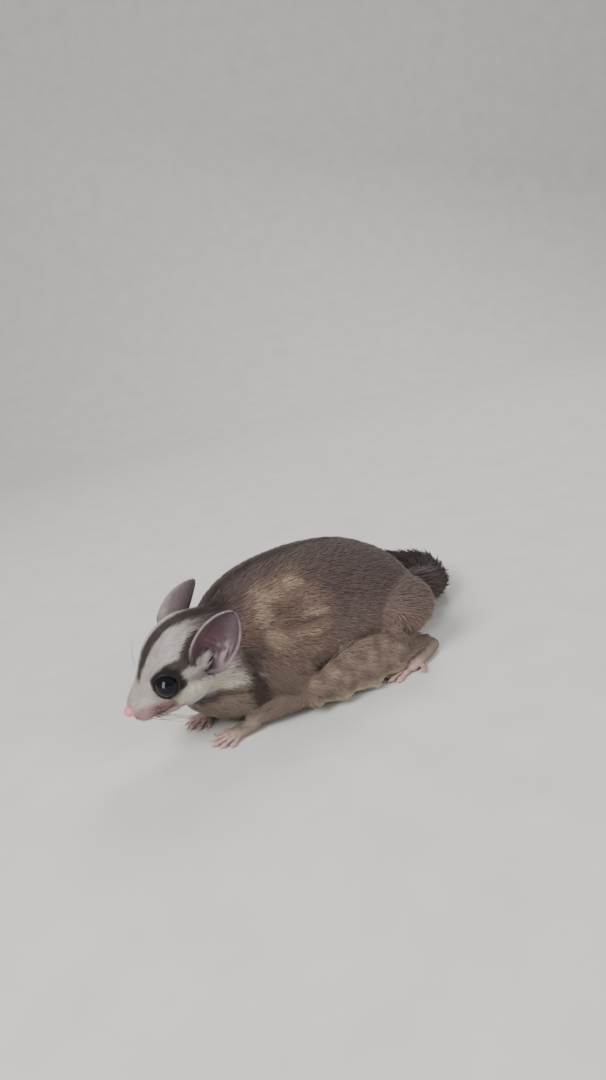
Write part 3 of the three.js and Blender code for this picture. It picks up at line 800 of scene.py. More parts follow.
    # The paws: fur thins out over their backs towards the toes.
    paw = is_kind("paw", rounds=3)
    toes = np.maximum(ease(-19.5, -13.5, p[:, 0]), ease(-98, -90, p[:, 0]) * (p[:, 0] < -60))
    sole = ease(1.6, 0.9, p[:, 2])
    naked = paw * np.clip(np.maximum(toes, sole), 0, 1)
    colour = mix(colour, mix(mix(flank, belly, 0.35), np.array(c.paws), naked), paw)
    ear = is_kind("ear", rounds=2)
    colour = mix(colour, ear_colours(h, out, fine), ear)
    nose = of_kind(kinds, "nose")
    q = (h - NOSE_AT) @ NOSE
    # Painted shade in the carved nostrils.
    nostril_shade = 0.95 * hump(nostril(q), 0.85) * (q[:, 0] > 0)
    colour = mix(colour, mix(np.array(c.nose), SHADES["nostril"], nostril_shade), nose)
    bare = np.maximum(np.maximum(bare, naked), np.maximum(nose, ear * 0.85))
    return colour, bare, tip


# How far a point of an ear faces into its cup, from -1 to 1.
def ear_side(h, out):
    opens, _, _ = ear_ways()
    way = np.where(h[:, 1] < 0, -1, 1)
    turned = out @ HEAD
    return turned[:, 0] * opens[0] + turned[:, 1] * way * opens[1] + turned[:, 2] * opens[2]


# The ears: dark mauve inside with a redder middle and pale hair near the rear edge, greyer outside.
def ear_colours(h, out, fine):
    c = bpy.context.scene.glider_colours
    outside, inside, pale = (np.array(v) for v in (c.ear_out, c.ear_in, c.light_ear))
    _, width, axis = ear_ways()
    q = on_left(h) - EAR_ROOT
    height = q @ axis / EAR_HEIGHT
    across = q @ width
    half = np.interp(height, *np.transpose(EAR)[:2])
    edge = np.abs(across) / (half * EAR_WIDTH / 2)
    ear = mix(outside, outside * 0.86, ease(0.4, 0, height))
    cup = inside
    for colour, share, at, tall, aside, wide in (
        (SHADES["ear_middle"], 0.7, 0.42, 0.2, across + 2.4, 3.4),
        (pale, 0.85, 0.4, 0.19, across - 4.4 - 1.4 * fine, 1.5),
        (SHADES["ear_root"], 0.85, 0.06, 0.1, across - 3.2, 2.2),
    ):
        cup = mix(cup, colour, share * hump(height - at, tall) * hump(aside, wide))
    ear = mix(ear, cup, ease(0, 0.3, ear_side(h, out)))
    return mix(ear, pale * 0.92, ease(0.82, 0.98, edge) * ease(0.1, 0.4, height) * 0.75)


# The way the coat lies: down the sides of the body and back over the cheeks, along the skin.
def hair_lies(p, lie, out, edges, kinds):
    def on_skin(lie):
        return unit(lie - (lie * out).sum(1, keepdims=True) * out)

    none = np.zeros(len(p))
    drop = np.stack([none, none, -0.55 * ease(3, 20, np.abs(p[:, 1]))], -1)
    lie = lie + of_kind(kinds, "trunk")[:, None] * drop
    h = to_head(p)
    cheek = np.stack([none, none, -0.5 * ease(-2, -8, h[:, 2])], -1)
    fan = np.stack([none, 0.5 * np.sign(h[:, 1]) * ease(1, 6, np.abs(h[:, 1])), none], -1)
    lie = lie + of_kind(kinds, "head")[:, None] * (cheek @ HEAD.T + fan @ HEAD.T)
    return on_skin(evened(on_skin(lie), edges, 12))


def put_attribute(mesh, name, kind, values):
    made = mesh.attributes.get(name) or mesh.attributes.new(name, kind, "POINT")
    field = {"FLOAT": "value", "FLOAT_VECTOR": "vector", "FLOAT_COLOR": "color"}[kind]
    made.data.foreach_set(field, np.asarray(values, np.float32).ravel())


def read_attribute(mesh, name, width=1):
    made = mesh.attributes[name]
    out = np.zeros(len(made.data) * width, np.float32)
    made.data.foreach_get("value" if width == 1 else "vector", out)
    return out.reshape(-1, width) if width > 1 else out


# What the skin's points carry only until the coat has grown.
FOR_COAT = ("lie", "tuft_size", "tuft_share", "kind")


def drop_attributes(mesh, *names):
    for name in names:
        if name in mesh.attributes:
            mesh.attributes.remove(mesh.attributes[name])


# Materials

class Tree:
    """A short way to add nodes and link them."""

    def __init__(self, tree):
        self.tree = tree

    def give(self, socket, value):
        if isinstance(value, bpy.types.NodeSocket):
            self.tree.links.new(value, socket)
        else:
            socket.default_value = value

    def add(self, kind, inputs=(), **settings):
        node = self.tree.nodes.new(kind)
        for key, value in settings.items():
            setattr(node, key, value)
        for key, value in dict(inputs).items():
            self.give(node.inputs[key], value)
        return node

    def math(self, how, a, b=0.0):
        return self.add("ShaderNodeMath", {0: a, 1: b}, operation=how).outputs[0]


class Finish(Tree):
    """A short way to write a material's nodes."""

    def __init__(self, name):
        self.material = bpy.data.materials.new(name)
        self.material.use_nodes = True
        super().__init__(self.material.node_tree)
        self.shader = self.tree.nodes["Principled BSDF"]

    def set(self, **values):
        for key, value in values.items():
            self.give(self.shader.inputs[key.replace("_", " ")], value)

    def attribute(self, name, output="Color"):
        return self.add("ShaderNodeAttribute", attribute_name=name).outputs[output]

    def noise(self, scale, detail, stretch=None, rotate=None):
        place = self.add("ShaderNodeTexCoord").outputs["Object"]
        if stretch:
            mapped = {"Vector": place, "Scale": stretch, "Rotation": rotate}
            place = self.add("ShaderNodeMapping", mapped).outputs[0]
        given = {"Vector": place, "Scale": scale, "Detail": detail, "Roughness": 0.55}
        return self.add("ShaderNodeTexNoise", given).outputs["Fac"]

    def cells(self, scale):
        place = self.add("ShaderNodeTexCoord").outputs["Object"]
        given = {"Vector": place, "Scale": scale}
        return self.add("ShaderNodeTexVoronoi", given).outputs["Distance"]

    def ramp(self, value, stops):
        node = self.add("ShaderNodeValToRGB", {"Fac": value})
        ramp = node.color_ramp
        while len(ramp.elements) < len(stops):
            ramp.elements.new(0.5)
        for element, (at, colour) in zip(ramp.elements, stops):
            element.position = at
            element.color = (*colour, 1) if len(np.shape(colour)) else (colour, colour, colour, 1)
        return node.outputs["Color"]

    def blend(self, how, a, b, share=1.0):
        node = self.add("ShaderNodeMix", data_type="RGBA", blend_type=how)
        for socket, value in ((node.inputs[0], share), (node.inputs[6], a), (node.inputs[7], b)):
            if not isinstance(value, (bpy.types.NodeSocket, float, int)):
                value = (*value, 1) if len(value) == 3 else value
            self.give(socket, value)
        return node.outputs[2]

    # A colour made darker or lighter by a value.
    def toned(self, colour, value, *stops):
        return self.blend("MULTIPLY", colour, self.ramp(value, stops))

    def bump(self, height, strength, distance):
        given = {"Height": height, "Strength": strength, "Distance": distance}
        self.set(Normal=self.add("ShaderNodeBump", given).outputs[0])


# Fur: darker at its root, each tuft a little lighter or darker, with fine hairs across it.
def fur_finish(name):
    m = Finish(name)
    strand, across, chance = (m.attribute(name, "Fac") for name in ("strand", "across", "chance"))
    colour = m.attribute("fur_colour")
    colour = m.toned(colour, strand, (0.0, 0.6), (0.3, 0.84), (0.7, 1.0), (1.0, 1.08))
    colour = m.toned(colour, chance, (0.0, 0.84), (0.5, 1.0), (0.9, 1.1), (1.0, 1.22))
    hairs = m.math("ADD", m.math("MULTIPLY", across, 17.0), m.math("MULTIPLY", chance, 50.0))
    hairs = m.math("ADD", m.math("MULTIPLY", m.math("SINE", hairs), 0.5), 0.5)
    colour = m.toned(colour, hairs, (0.0, 0.84), (1.0, 1.06))
    m.set(Base_Color=colour, Roughness=0.66, Sheen_Weight=0.1, Sheen_Roughness=0.45)
    m.set(Specular_IOR_Level=0.12)
    return m.material


# The skin: fine hairs where the coat grows, and finely creased, moist skin where it is bare.
def skin_finish(name):
    m = Finish(name)
    bare, colour = m.attribute("bare", "Fac"), m.attribute("fur_colour")
    rotate = (0.0, 0.0, -math.radians(180 + HEADING))
    hairs = m.noise(1.0, 4, stretch=(450.0, 2600.0, 2600.0), rotate=rotate)
    furred = m.toned(colour, hairs, (0.3, 0.6), (0.7, 1.02))
    cells, wide = m.cells(2400.0), m.noise(300.0, 3)
    naked = m.toned(colour, cells, (0.0, 0.84), (0.5, 1.04))
    naked = m.toned(naked, wide, (0.32, (0.9, 0.86, 0.86)), (0.62, (1.02, 1.02, 1.02)))
    m.set(Base_Color=m.blend("MIX", furred, naked, bare), Specular_IOR_Level=0.16)
    m.set(Roughness=m.ramp(bare, ((0.2, 0.82), (0.9, 0.5))))
    m.set(Subsurface_Weight=m.math("MULTIPLY", bare, 0.08), Subsurface_Scale=1.0)
    m.set(Subsurface_Radius=(0.0008, 0.0005, 0.0004))
    m.bump(m.blend("MIX", hairs, m.math("MULTIPLY", cells, 0.6), bare), 0.5, 0.00022)
    return m.material


# Horn and hair: cloudy between two colours, with a fine grain.
def bare_finish(name, base, deep, grain, gloss, depth):
    m = Finish(name)
    wide = m.noise(260.0, 3)
    cells = m.cells(grain)
    colour = m.blend("MIX", deep, base, m.ramp(wide, ((0.3, 0.0), (0.65, 1.0))))
    colour = m.toned(colour, cells, (0.0, 0.86), (0.5, 1.04))
    m.set(Base_Color=colour, Roughness=gloss, Subsurface_Weight=0.12, Subsurface_Scale=1.0)
    m.set(Subsurface_Radius=(0.0012, 0.0005, 0.0003))
    m.bump(cells, depth, 0.00012)
    return m.material


# Settings

def colour_setting(name, text, *rgb):
    return FloatVectorProperty(
        name=name, description=text, subtype="COLOR", size=3, min=0, max=1, default=tuple(srgb(*rgb))
    )


class GliderColours(bpy.types.PropertyGroup):
    """The colours of the coat and of the bare skin."""

    back: colour_setting("Back", "Coat along the back", 93, 80, 77)
    flank: colour_setting("Flank", "Coat on the sides and legs", 122, 104, 95)
    light: colour_setting("Light", "Creamy crests of the folds on the flank", 172, 150, 130)
    belly: colour_setting("Belly", "Coat of the belly and throat", 192, 179, 158)
    stripe: colour_setting("Stripe", "Dark lines of the face and back", 58, 49, 47)
    face: colour_setting("Face", "Pale coat of the face", 208, 198, 193)
    cheek: colour_setting("Cheek", "Cream band below the eye", 220, 212, 192)
    fringe: colour_setting("Fringe", "Cream edge of the gliding membrane", 204, 188, 162)
    tail: colour_setting("Tail", "Coat of the tail past its root", 40, 31, 31)
    muzzle: colour_setting("Muzzle", "Thin-haired skin round the mouth", 186, 148, 150)
    lips: colour_setting("Lips", "Bare skin of the lips", 186, 136, 140)
    nose: colour_setting("Nose", "Bare skin of the nose", 206, 146, 150)
    lobe: colour_setting("Lobe", "Skin between the eye and the ear", 150, 136, 138)
    ear_out: colour_setting("Ear outside", "Back of the ears", 124, 112, 111)
    ear_in: colour_setting("Ear inside", "Inside of the ears", 82, 67, 71)
    light_ear: colour_setting("Ear hair", "Pale hair and rim of the ears", 164, 152, 152)
    paws: colour_setting("Paws", "Bare skin of hands and feet", 182, 154, 148)
    eye: colour_setting("Eye", "Globe of the eye", 9, 11, 19)


class GliderSizes(bpy.types.PropertyGroup):
    """The sizes that a user would change."""

    eye_radius: FloatProperty(
        name="Eye radius", description="Radius of the globe", default=0.0045, unit="LENGTH"
    )
    grain: FloatProperty(
        name="Skin grain", description="Finest size of the skin's form", default=0.0005, unit="LENGTH"
    )
    tufts: FloatProperty(
        name="Tufts", description="How densely the coat grows", default=1.0, min=0.05, max=1.2
    )
    whisker: FloatProperty(
        name="Whisker", description="Length of the longest one", default=0.022, unit="LENGTH"
    )
    claw: FloatProperty(name="Claw", description="Length of a claw", default=0.002, unit="LENGTH")
    seed: IntProperty(name="Seed", description="Start of everything that varies", default=11)


# The skin

# Halves the edges within reach of some places, where lids and lips are carved.
def fine_near(obj, centres):
    bm = bmesh.new()
    bm.from_mesh(obj.data)
    near = []
    for edge in bm.edges:
        at = (edge.verts[0].co + edge.verts[1].co) / 2
        if any((at - centre).length < reach for centre, reach in centres):
            near.append(edge)
    bmesh.ops.subdivide_edges(bm, edges=near, cuts=1, use_grid_fill=True, smooth=1.0)
    bmesh.ops.triangulate(bm, faces=[f for f in bm.faces if len(f.verts) > 4])
    bm.to_mesh(obj.data)
    bm.free()


# Makes a mesh coarser outside the points that keep their form.
def thinned(obj, keep, share):
    group = obj.vertex_groups.new(name="thin")
    for weight, chosen in ((0.0, keep), (1.0, ~keep)):
        group.add(np.nonzero(chosen)[0].tolist(), weight, "REPLACE")
    thin = obj.modifiers.new("thin", "DECIMATE")
    thin.ratio = share
    thin.vertex_group = "thin"
    settled(obj)
    obj.vertex_groups.clear()


def united(obj, others):
    for other in others:
        union = obj.modifiers.new("join", "BOOLEAN")
        union.operation = "UNION"
        union.solver = "MANIFOLD"
        union.object = other
    settled(obj)
    for other in others:
        bpy.data.objects.remove(other)


def build_skin():
    forms = body_forms()
    skin = one_shell("skin", forms, bpy.context.scene.glider_sizes.grain / MM)
    mesh = skin.data
    points, edges = points_of(mesh), edges_of(mesh)
    kinds, _ = traced(points, forms)
    face = of_kind(kinds, "head") & (to_head(points)[:, 0] > -20)
    soft = evened(np.where(face | of_kind(kinds, "tail"), 0.0, 1.0), edges, 20)
    for rounds, weight in ((6, np.ones(len(points))), (40, soft)):
        points = points + (evened(points, edges, rounds) - points) * weight[:, None]
    put_points(mesh, points)
    depth = coat_sizes(points, kinds, edges)[:, 0]
    share, wave = flank_folds(points)
    out = points_of(mesh, "normal")
    points = points + out * (share * wave - depth)[:, None]
    put_points(mesh, evened(points, edges, 2))

    spots = [(Vector(from_head(mirrored(EYE_AT, way))), 7.5) for _, way in SIDES]
    spots.append((Vector(from_head((13, 0, -6))), 8.5))
    fine_near(skin, spots)
    out = points_of(mesh, "normal") @ HEAD
    h = to_head(points_of(mesh))
    keep = (h[:, 0] > -19) & (np.abs(h[:, 1]) < 18) & (h[:, 2] > -17)
    h[keep] = carved(h, out)[keep]
    put_points(mesh, from_head(h))
    thinned(skin, keep, KEPT_SHARE)

    others = []
    for make in (hand, foot):
        for side, way in SIDES:
            paw_forms = [to_side(form, way) for form in make()[0]]
            forms += paw_forms
            others.append(one_shell("paw_" + make.__name__ + "_" + side, paw_forms, PAW_GRAIN))
    for form in [ear_form(way) for _, way in SIDES] + [nose_form()]:
        forms.append(form)
        others.append(facing_out(object_of("extra", form["points"], form["faces"])))
    united(skin, others)
    return skin, forms


# Gives the skin its colours, and the coat its measures, as attributes of its points.
def dress_skin(skin, forms):
    mesh = skin.data
    points, edges = points_of(mesh), edges_of(mesh)
    kinds, lie = traced(points, forms)
    out = points_of(mesh, "normal")
    sizes = coat_sizes(points, kinds, edges)
    sizes[:, 0] = np.where(of_kind(kinds, "tail"), tail_rise(points), sizes[:, 0])
    lie = hair_lies(points, lie, out, edges, kinds)
    h = to_head(points)
    hs = on_left(h)
    eye = np.linalg.norm(hs - EYE_AT, axis=1)
    seen = points + out * (sizes[:, 0] * ease(5.4, 6.6, eye))[:, None]
    colour, bare, tip = coat_colours(seen, kinds, edges, out)

    # Longer white hair at the front of each ear, and none on the nose, lips and lids.
    head = of_kind(kinds, "head")
    tuft = ease(3.6, 2.4, np.linalg.norm(hs - EAR_TUFT, axis=1)) * head
    sizes = mix(sizes, (1.8, 5, 0.26, 7), tuft)
    gone = np.maximum(ease(5.6, 5.2, eye), ease(3.4, 2.6, tip)) * head
    thin = np.maximum(np.maximum(gone, 0.6 * bare * head), mouth_line(h, 0.75) * head)
    thin = np.where(of_kind(kinds, "paw"), bare, thin)
    sizes[:, 3] *= 1 - np.clip(thin, 0, 1)
    sizes[of_kind(kinds, "ear") & (ear_side(h, out) > 0.1), 3] *= 0.4
    put_attribute(mesh, "fur_colour", "FLOAT_COLOR", np.column_stack([colour, np.ones(len(colour))]))
    put_attribute(mesh, "bare", "FLOAT", np.clip(np.maximum(bare, gone), 0, 1))
    put_attribute(mesh, "lie", "FLOAT_VECTOR", lie @ BODY.T)
    put_attribute(mesh, "tuft_size", "FLOAT_VECTOR", sizes[:, [2, 1, 0]] * MM)
    put_attribute(mesh, "tuft_share", "FLOAT", sizes[:, 3])
    put_attribute(mesh, "kind", "FLOAT", kinds)
    put_points(mesh, to_part(points))
    mesh.shade_smooth()
    mesh.materials.clear()
    mesh.materials.append(skin_finish("skin"))


def unwrap(obj):
    bpy.ops.object.select_all(action="DESELECT")
    obj.select_set(True)
    bpy.context.view_layer.objects.active = obj
    obj.data.uv_layers.new(name="skin_map")
    bpy.ops.object.mode_set(mode="EDIT")
    bpy.ops.mesh.select_all(action="SELECT")
    bpy.ops.uv.smart_project(angle_limit=math.radians(72), island_margin=0.004)
    bpy.ops.object.mode_set(mode="OBJECT")


class GLIDER_OT_skin(bpy.types.Operator):
    """One skin over the whole animal, with its ears, nose, lids and paws"""

    bl_idname = "glider.skin"
    bl_label = "Skin"

    def execute(self, context):
        skin, forms = build_skin()
        dress_skin(skin, forms)
        unwrap(skin)
        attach(skin, "root")
        flesh = [name for name in frame["nodes"] if not name.startswith("eye")]
        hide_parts(*flesh)
        return {"FINISHED"}


# The coat

# How far the tip of each tuft is bent to one side, and where across the tuft its keel is.
BENDS = ((0.1, 0.2), (-0.5, -0.3), (0.6, 0.0), (-1.0, 0.3))


# A tuft a unit long, wide and high: a thin leaf with a keel, pointed at both ends, that rises from its
# root and then lies along the coat, bent to one side.
def tuft_shape(name, rings, bend, split):
    t = np.array(rings)
    width = np.interp(t, [0, 0.3, 0.7, 1], [0.2, 0.5, 0.36, 0.05])
    rise = np.interp(t, [0, 0.22, 0.5, 0.8, 1], [-0.2, 0.5, 0.86, 0.98, 1])
    shift = bend * t * t
    left = np.stack([shift - width, t, rise], -1)
    right = np.stack([shift + width, t, rise], -1)
    keel = np.stack([shift + split * width, t, rise + 0.14 * (1 - t)], -1)
    sides = np.stack([left, right, keel], 1).reshape(-1, 3)
    points = np.vstack([[[0, 0, -0.2]], sides, [[bend, 1, 0.98]]])
    last = 3 * len(t) + 1
    faces = []
    for a, b in ((1, 2), (2, 3), (3, 1)):
        faces.append((0, b, a))
        steps = range(0, 3 * len(t) - 3, 3)
        faces += [(a + i, b + i, b + i + 3, a + i + 3) for i in steps]
        faces.append((last - 4 + a, last - 4 + b, last))
    mesh = mesh_of(name, points, faces)
    put_attribute(mesh, "strand", "FLOAT", points[:, 1])
    across = np.clip(0.5 + points[:, 0] - bend * points[:, 1] ** 2, 0, 1)
    put_attribute(mesh, "across", "FLOAT", across)
    mesh.shade_smooth()
    return facing_out(bpy.data.objects.new(name, mesh))


def shape_collection(name, rings):
    made = bpy.data.collections.new(name)
    bpy.context.scene.collection.children.link(made)
    for i, (bend, split) in enumerate(BENDS):
        made.objects.link(tuft_shape(f"{name}_{i}", rings, bend, split))
    return made


# Scatters tufts over the skin by its attributes: mask, tuft_share, tuft_size and lie.
def tuft_tree(name):
    group = bpy.data.node_groups.new(name, "GeometryNodeTree")
    group.interface.new_socket("Coat", in_out="OUTPUT", socket_type="NodeSocketGeometry")
    for label, kind, default in (
        ("Skin", "NodeSocketGeometry", None),
        ("Density", "NodeSocketFloat", 1.0),
        ("Length", "NodeSocketFloat", 1.0),
        ("Stray", "NodeSocketFloat", 0.2),
        ("Seed", "NodeSocketInt", 0),
        ("Shapes", "NodeSocketCollection", None),
        ("Finish", "NodeSocketMaterial", None),
    ):
        socket = group.interface.new_socket(label, in_out="INPUT", socket_type=kind)
        if default is not None:
            socket.default_value = default
    t = Tree(group)
    given = t.add("NodeGroupInput").outputs

    def read(attribute, kind="FLOAT_VECTOR"):
        named = t.add("GeometryNodeInputNamedAttribute", {"Name": attribute}, data_type=kind)
        return named.outputs["Attribute"]

    def times(a, b):
        return t.math("MULTIPLY", a, b)

    def chance(low, high, salt):
        drawn = {2: low, 3: high, "Seed": t.math("ADD", given["Seed"], salt)}
        return t.add("FunctionNodeRandomValue", drawn, data_type="FLOAT").outputs[1]

    def stored(points, attribute, kind, value):
        values = {"Geometry": points, "Name": attribute, "Value": value}
        store = "GeometryNodeStoreNamedAttribute"
        return t.add(store, values, data_type=kind, domain="POINT").outputs[0]

    density = times(read("mask", "FLOAT"), read("tuft_share", "FLOAT"))
    density = times(times(density, given["Density"]), 1e6)
    scatter = t.add(
        "GeometryNodeDistributePointsOnFaces",
        {"Mesh": given["Skin"], "Density": density, "Seed": given["Seed"]},
        distribute_method="RANDOM",
    ).outputs
    roots = stored(scatter["Points"], "root_normal", "FLOAT_VECTOR", scatter["Normal"])
    roots = stored(roots, "chance", "FLOAT", chance(0, 1, 3))

    # Each tuft lies along the coat, upright on the skin, and strays a little.
    align = "FunctionNodeAlignRotationToVector"
    turned = t.add(align, {"Vector": read("lie")}, axis="Y").outputs[0]
    upright = {"Rotation": turned, "Vector": read("root_normal")}
    turned = t.add(align, upright, axis="Z", pivot_axis="Y").outputs[0]
    angles = {
        axis: times(chance(-1, 1, salt), times(given["Stray"], share))
        for axis, share, salt in (("X", 0.35, 5), ("Y", 1.3, 6), ("Z", 1.0, 7))
    }
    astray = t.add("ShaderNodeCombineXYZ", angles).outputs[0]
    twist = t.add("FunctionNodeEulerToRotation", {0: astray}).outputs[0]
    both = {"Rotation": turned, "Rotate By": twist}
    turned = t.add("FunctionNodeRotateRotation", both, rotation_space="LOCAL").outputs[0]

    size = t.add("ShaderNodeSeparateXYZ", {0: read("tuft_size")}).outputs
    wide = times(size[0], chance(0.7, 1.25, 8))
    long = times(times(size[1], chance(0.7, 1.15, 9)), given["Length"])
    tall = times(t.math("ADD", size[2], 0.0002), chance(0.5, 1.0, 10))
    scale = t.add("ShaderNodeCombineXYZ", {0: wide, 1: long, 2: tall}).outputs[0]

    parts = {"Collection": given["Shapes"], "Separate Children": True, "Reset Children": True}
    shapes = t.add("GeometryNodeCollectionInfo", parts).outputs[0]
    pick = {4: 0, 5: len(BENDS) - 1, "Seed": given["Seed"]}
    which = t.add("FunctionNodeRandomValue", pick, data_type="INT").outputs[2]
    placed = {
        "Points": roots, "Instance": shapes, "Pick Instance": True, "Instance Index": which,
        "Rotation": turned, "Scale": scale,
    }
    made = t.add("GeometryNodeInstanceOnPoints", placed).outputs[0]
    made = t.add("GeometryNodeRealizeInstances", {0: made}).outputs[0]
    finish = {"Geometry": made, "Material": given["Finish"]}
    made = t.add("GeometryNodeSetMaterial", finish).outputs[0]
    t.add("NodeGroupOutput", {0: made})
    return group


def set_inputs(modifier, **values):
    for item in modifier.node_group.interface.items_tree:
        if item.in_out == "INPUT" and item.name in values:
            modifier[item.identifier] = values[item.name]


# Turns a scattered coat into a plain mesh: its shading follows the skin's, it stays off the floor, and
# each tuft's patch of the bake map sits where its root is on the skin's own map.
def finish_coat(piece):
    mesh = piece.data
    points = points_of(mesh)
    points[:, 2] = np.maximum(points[:, 2], 0.00003)
    put_points(mesh, points)
    root = read_attribute(mesh, "root_normal", 3)
    lit = unit(0.85 * unit(root) + 0.32 * points_of(mesh, "normal"))
    spot = read_attribute(mesh, "skin_map", 2)
    inside = np.column_stack([read_attribute(mesh, "across"), read_attribute(mesh, "strand")])
    corner = np.zeros(len(mesh.loops), np.int32)
    mesh.loops.foreach_get("vertex_index", corner)
    bake = (spot + (inside - 0.5) * 0.003)[corner]
    drop_attributes(mesh, "root_normal", "skin_map", "bare", "mask", *FOR_COAT)
    layer = mesh.uv_layers.new(name="OFBake")
    layer.uv.foreach_set("vector", bake.astype(np.float32).ravel())
    mesh.shade_smooth()
    mesh.normals_split_custom_set_from_vertices(lit.tolist())


# The pieces of the coat: where each grows, its slot, the shape of its tufts and how far they stray.
def coat_parts(p, kinds):
    def one(*names):
        return of_kind(kinds, *names).astype(float)

    neck_end, waist, tail_bend = -31, -72, -132
    x, y = p[:, 0], p[:, 1]
    left = (y > 0).astype(float)
    near = (to_head(p)[:, 1] > 0).astype(float)
    face = one("head", "ear")
    trunk = one("trunk") * (x <= neck_end)
    neck = one("trunk") * (x > neck_end)
    past = (x < -120) | (y < -40)
    return {
        "coat_face_left": (face * near, "face_fur", "short", 0.2),
        "coat_face_right": (face * (1 - near), "face_fur", "short", 0.2),
        "coat_neck": (neck, "body_fur", "mid", 0.18),
        "coat_flank_left": (trunk * left * (x > waist), "body_fur", "mid", 0.18),
        "coat_flank_right": (trunk * (1 - left) * (x > waist), "body_fur", "mid", 0.18),
        "coat_back_left": (trunk * left * (x <= waist), "body_fur", "mid", 0.18),
        "coat_back_right": (trunk * (1 - left) * (x <= waist), "body_fur", "mid", 0.18),
        "coat_thighs": (one("thigh"), "body_fur", "mid", 0.2),
        "coat_limbs": (one("arm", "shank", "paw"), "body_fur", "short", 0.2),
        "coat_membranes": (one("membrane"), "fringe_fur", "short", 0.22),
        "coat_tail_root": (one("tail") * (~past | (x < tail_bend)), "body_fur", "long", 0.2),
        "coat_tail": (one("tail") * (past & (x >= tail_bend)), "tail_fur", "long", 0.2),
    }


class GLIDER_OT_coat(bpy.types.Operator):
    """The coat: thin tapered tufts that lie along the body"""

    bl_idname = "glider.coat"
    bl_label = "Coat"

    def execute(self, context):
        sizes = context.scene.glider_sizes
        skin = context.scene.objects["skin"]
        finish = fur_finish("fur")
        shapes = {
            "short": shape_collection("tuft_short", (0.38,)),
            "mid": shape_collection("tuft_mid", (0.24, 0.64)),
            "long": shape_collection("tuft_long", (0.18, 0.46, 0.76)),
        }
        tree = tuft_tree("tufts")
        kinds = np.rint(read_attribute(skin.data, "kind")).astype(int)
        parts = coat_parts(from_part(points_of(skin.data)), kinds)
        density = sizes.tufts * 1
        for i, (name, (mask, slot, shape, stray)) in enumerate(parts.items()):
            piece = shown(bpy.data.objects.new(name, skin.data.copy()))
            put_attribute(piece.data, "mask", "FLOAT", mask)
            grow = piece.modifiers.new("tufts", "NODES")
            grow.node_group = tree
            set_inputs(
                grow, Density=density, Length=1.0, Stray=stray, Seed=sizes.seed + i,
                Shapes=shapes[shape], Finish=finish,
            )
            settled(piece)
            finish_coat(piece)
            piece.data.materials.clear()
            piece.data.materials.append(finish)
            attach(piece, "root")
        for made in shapes.values():
            for obj in list(made.objects):
                bpy.data.objects.remove(obj)
            bpy.data.collections.remove(made)
        bpy.data.node_groups.remove(tree)
        drop_attributes(skin.data, *FOR_COAT)
        skin.data.uv_layers.remove(skin.data.uv_layers["skin_map"])
        return {"FINISHED"}


# Eyes, claws and whiskers

def eye_finish():
    m = Finish("eye_gloss")
    globe = tuple(bpy.context.scene.glider_colours.eye)
    cloud = m.ramp(m.noise(500.0, 2), ((0.35, 0.0), (0.75, 1.0)))
    colour = m.blend("MIX", globe, SHADES["eye_cloud"], cloud)
    m.set(Base_Color=colour, Roughness=0.07, IOR=1.38, Specular_IOR_Level=0.36)
    return m.material


def ready(obj, material):
    obj.data.shade_smooth()
    obj.data.materials.append(material)
    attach(obj, "root")


# Makes one piece of many forms, and keeps it off the floor.
def many_as_one(name, forms, floor, material):
    points, faces = joined(forms)
    points[:, 2] = np.maximum(points[:, 2], floor)
    ready(facing_out(object_of(name, to_part(points), faces)), material)


class GLIDER_OT_eyes(bpy.types.Operator):
    """The two eyes, large and glossy"""

    bl_idname = "glider.eyes"
    bl_label = "Eyes"

    def execute(self, context):
        radius = context.scene.glider_sizes.eye_radius / MM
        gloss = eye_finish()
        for side, way in SIDES:
            look = unit(mirrored(EYE_LOOK, way))
            form = ball((0, 0, 0), (radius,) * 3, "head", (1, 0, 0), across=72, down=52)
            bulge = 1 + 0.035 * ease(0.45, 1, np.clip(unit(form["points"]) @ look, 0, 1))
            points = from_head(form["points"] * bulge[:, None] + mirrored(EYE_AT, way))
            eye = facing_out(object_of("globe_" + side, to_part(points), form["faces"]))
            ready(eye, gloss)
            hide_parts("eye_" + side)
        return {"FINISHED"}


# A tapered thread along a bent line, closed at both ends.
def thread(line, radii, sides):
    rows = along(np.column_stack([line, radii, radii]), np.linspace(0, 1, 13))
    return limb(rows, "head", sides=sides, steps=12)


class GLIDER_OT_claws(bpy.types.Operator):
    """The hooked claws of hands and feet"""

    bl_idname = "glider.claws"
    bl_label = "Claws"

    def execute(self, context):
        reach = context.scene.glider_sizes.claw / MM
        horn = bare_finish("horn", SHADES["claw"], SHADES["claw_root"], 5200.0, 0.3, 0.12)
        forms = []
        for make in (hand, foot):
            for tip, way in make()[1]:
                share = np.linspace(0, 1, 6)[:, None]
                hook = np.array([0, 0, 1]) * (0.25 - 1.1 * share**2)
                line = tip + way * reach * np.sin(share * 1.25) + hook
                line[:, 2] = np.maximum(line[:, 2], 0.12)
                radii = 0.36 * (1 - share[:, 0]) ** 0.75 + 0.03
                forms += [to_side(thread(line, radii, 10), side) for _, side in SIDES]
        many_as_one("claws", forms, 0.02, horn)
        return {"FINISHED"}


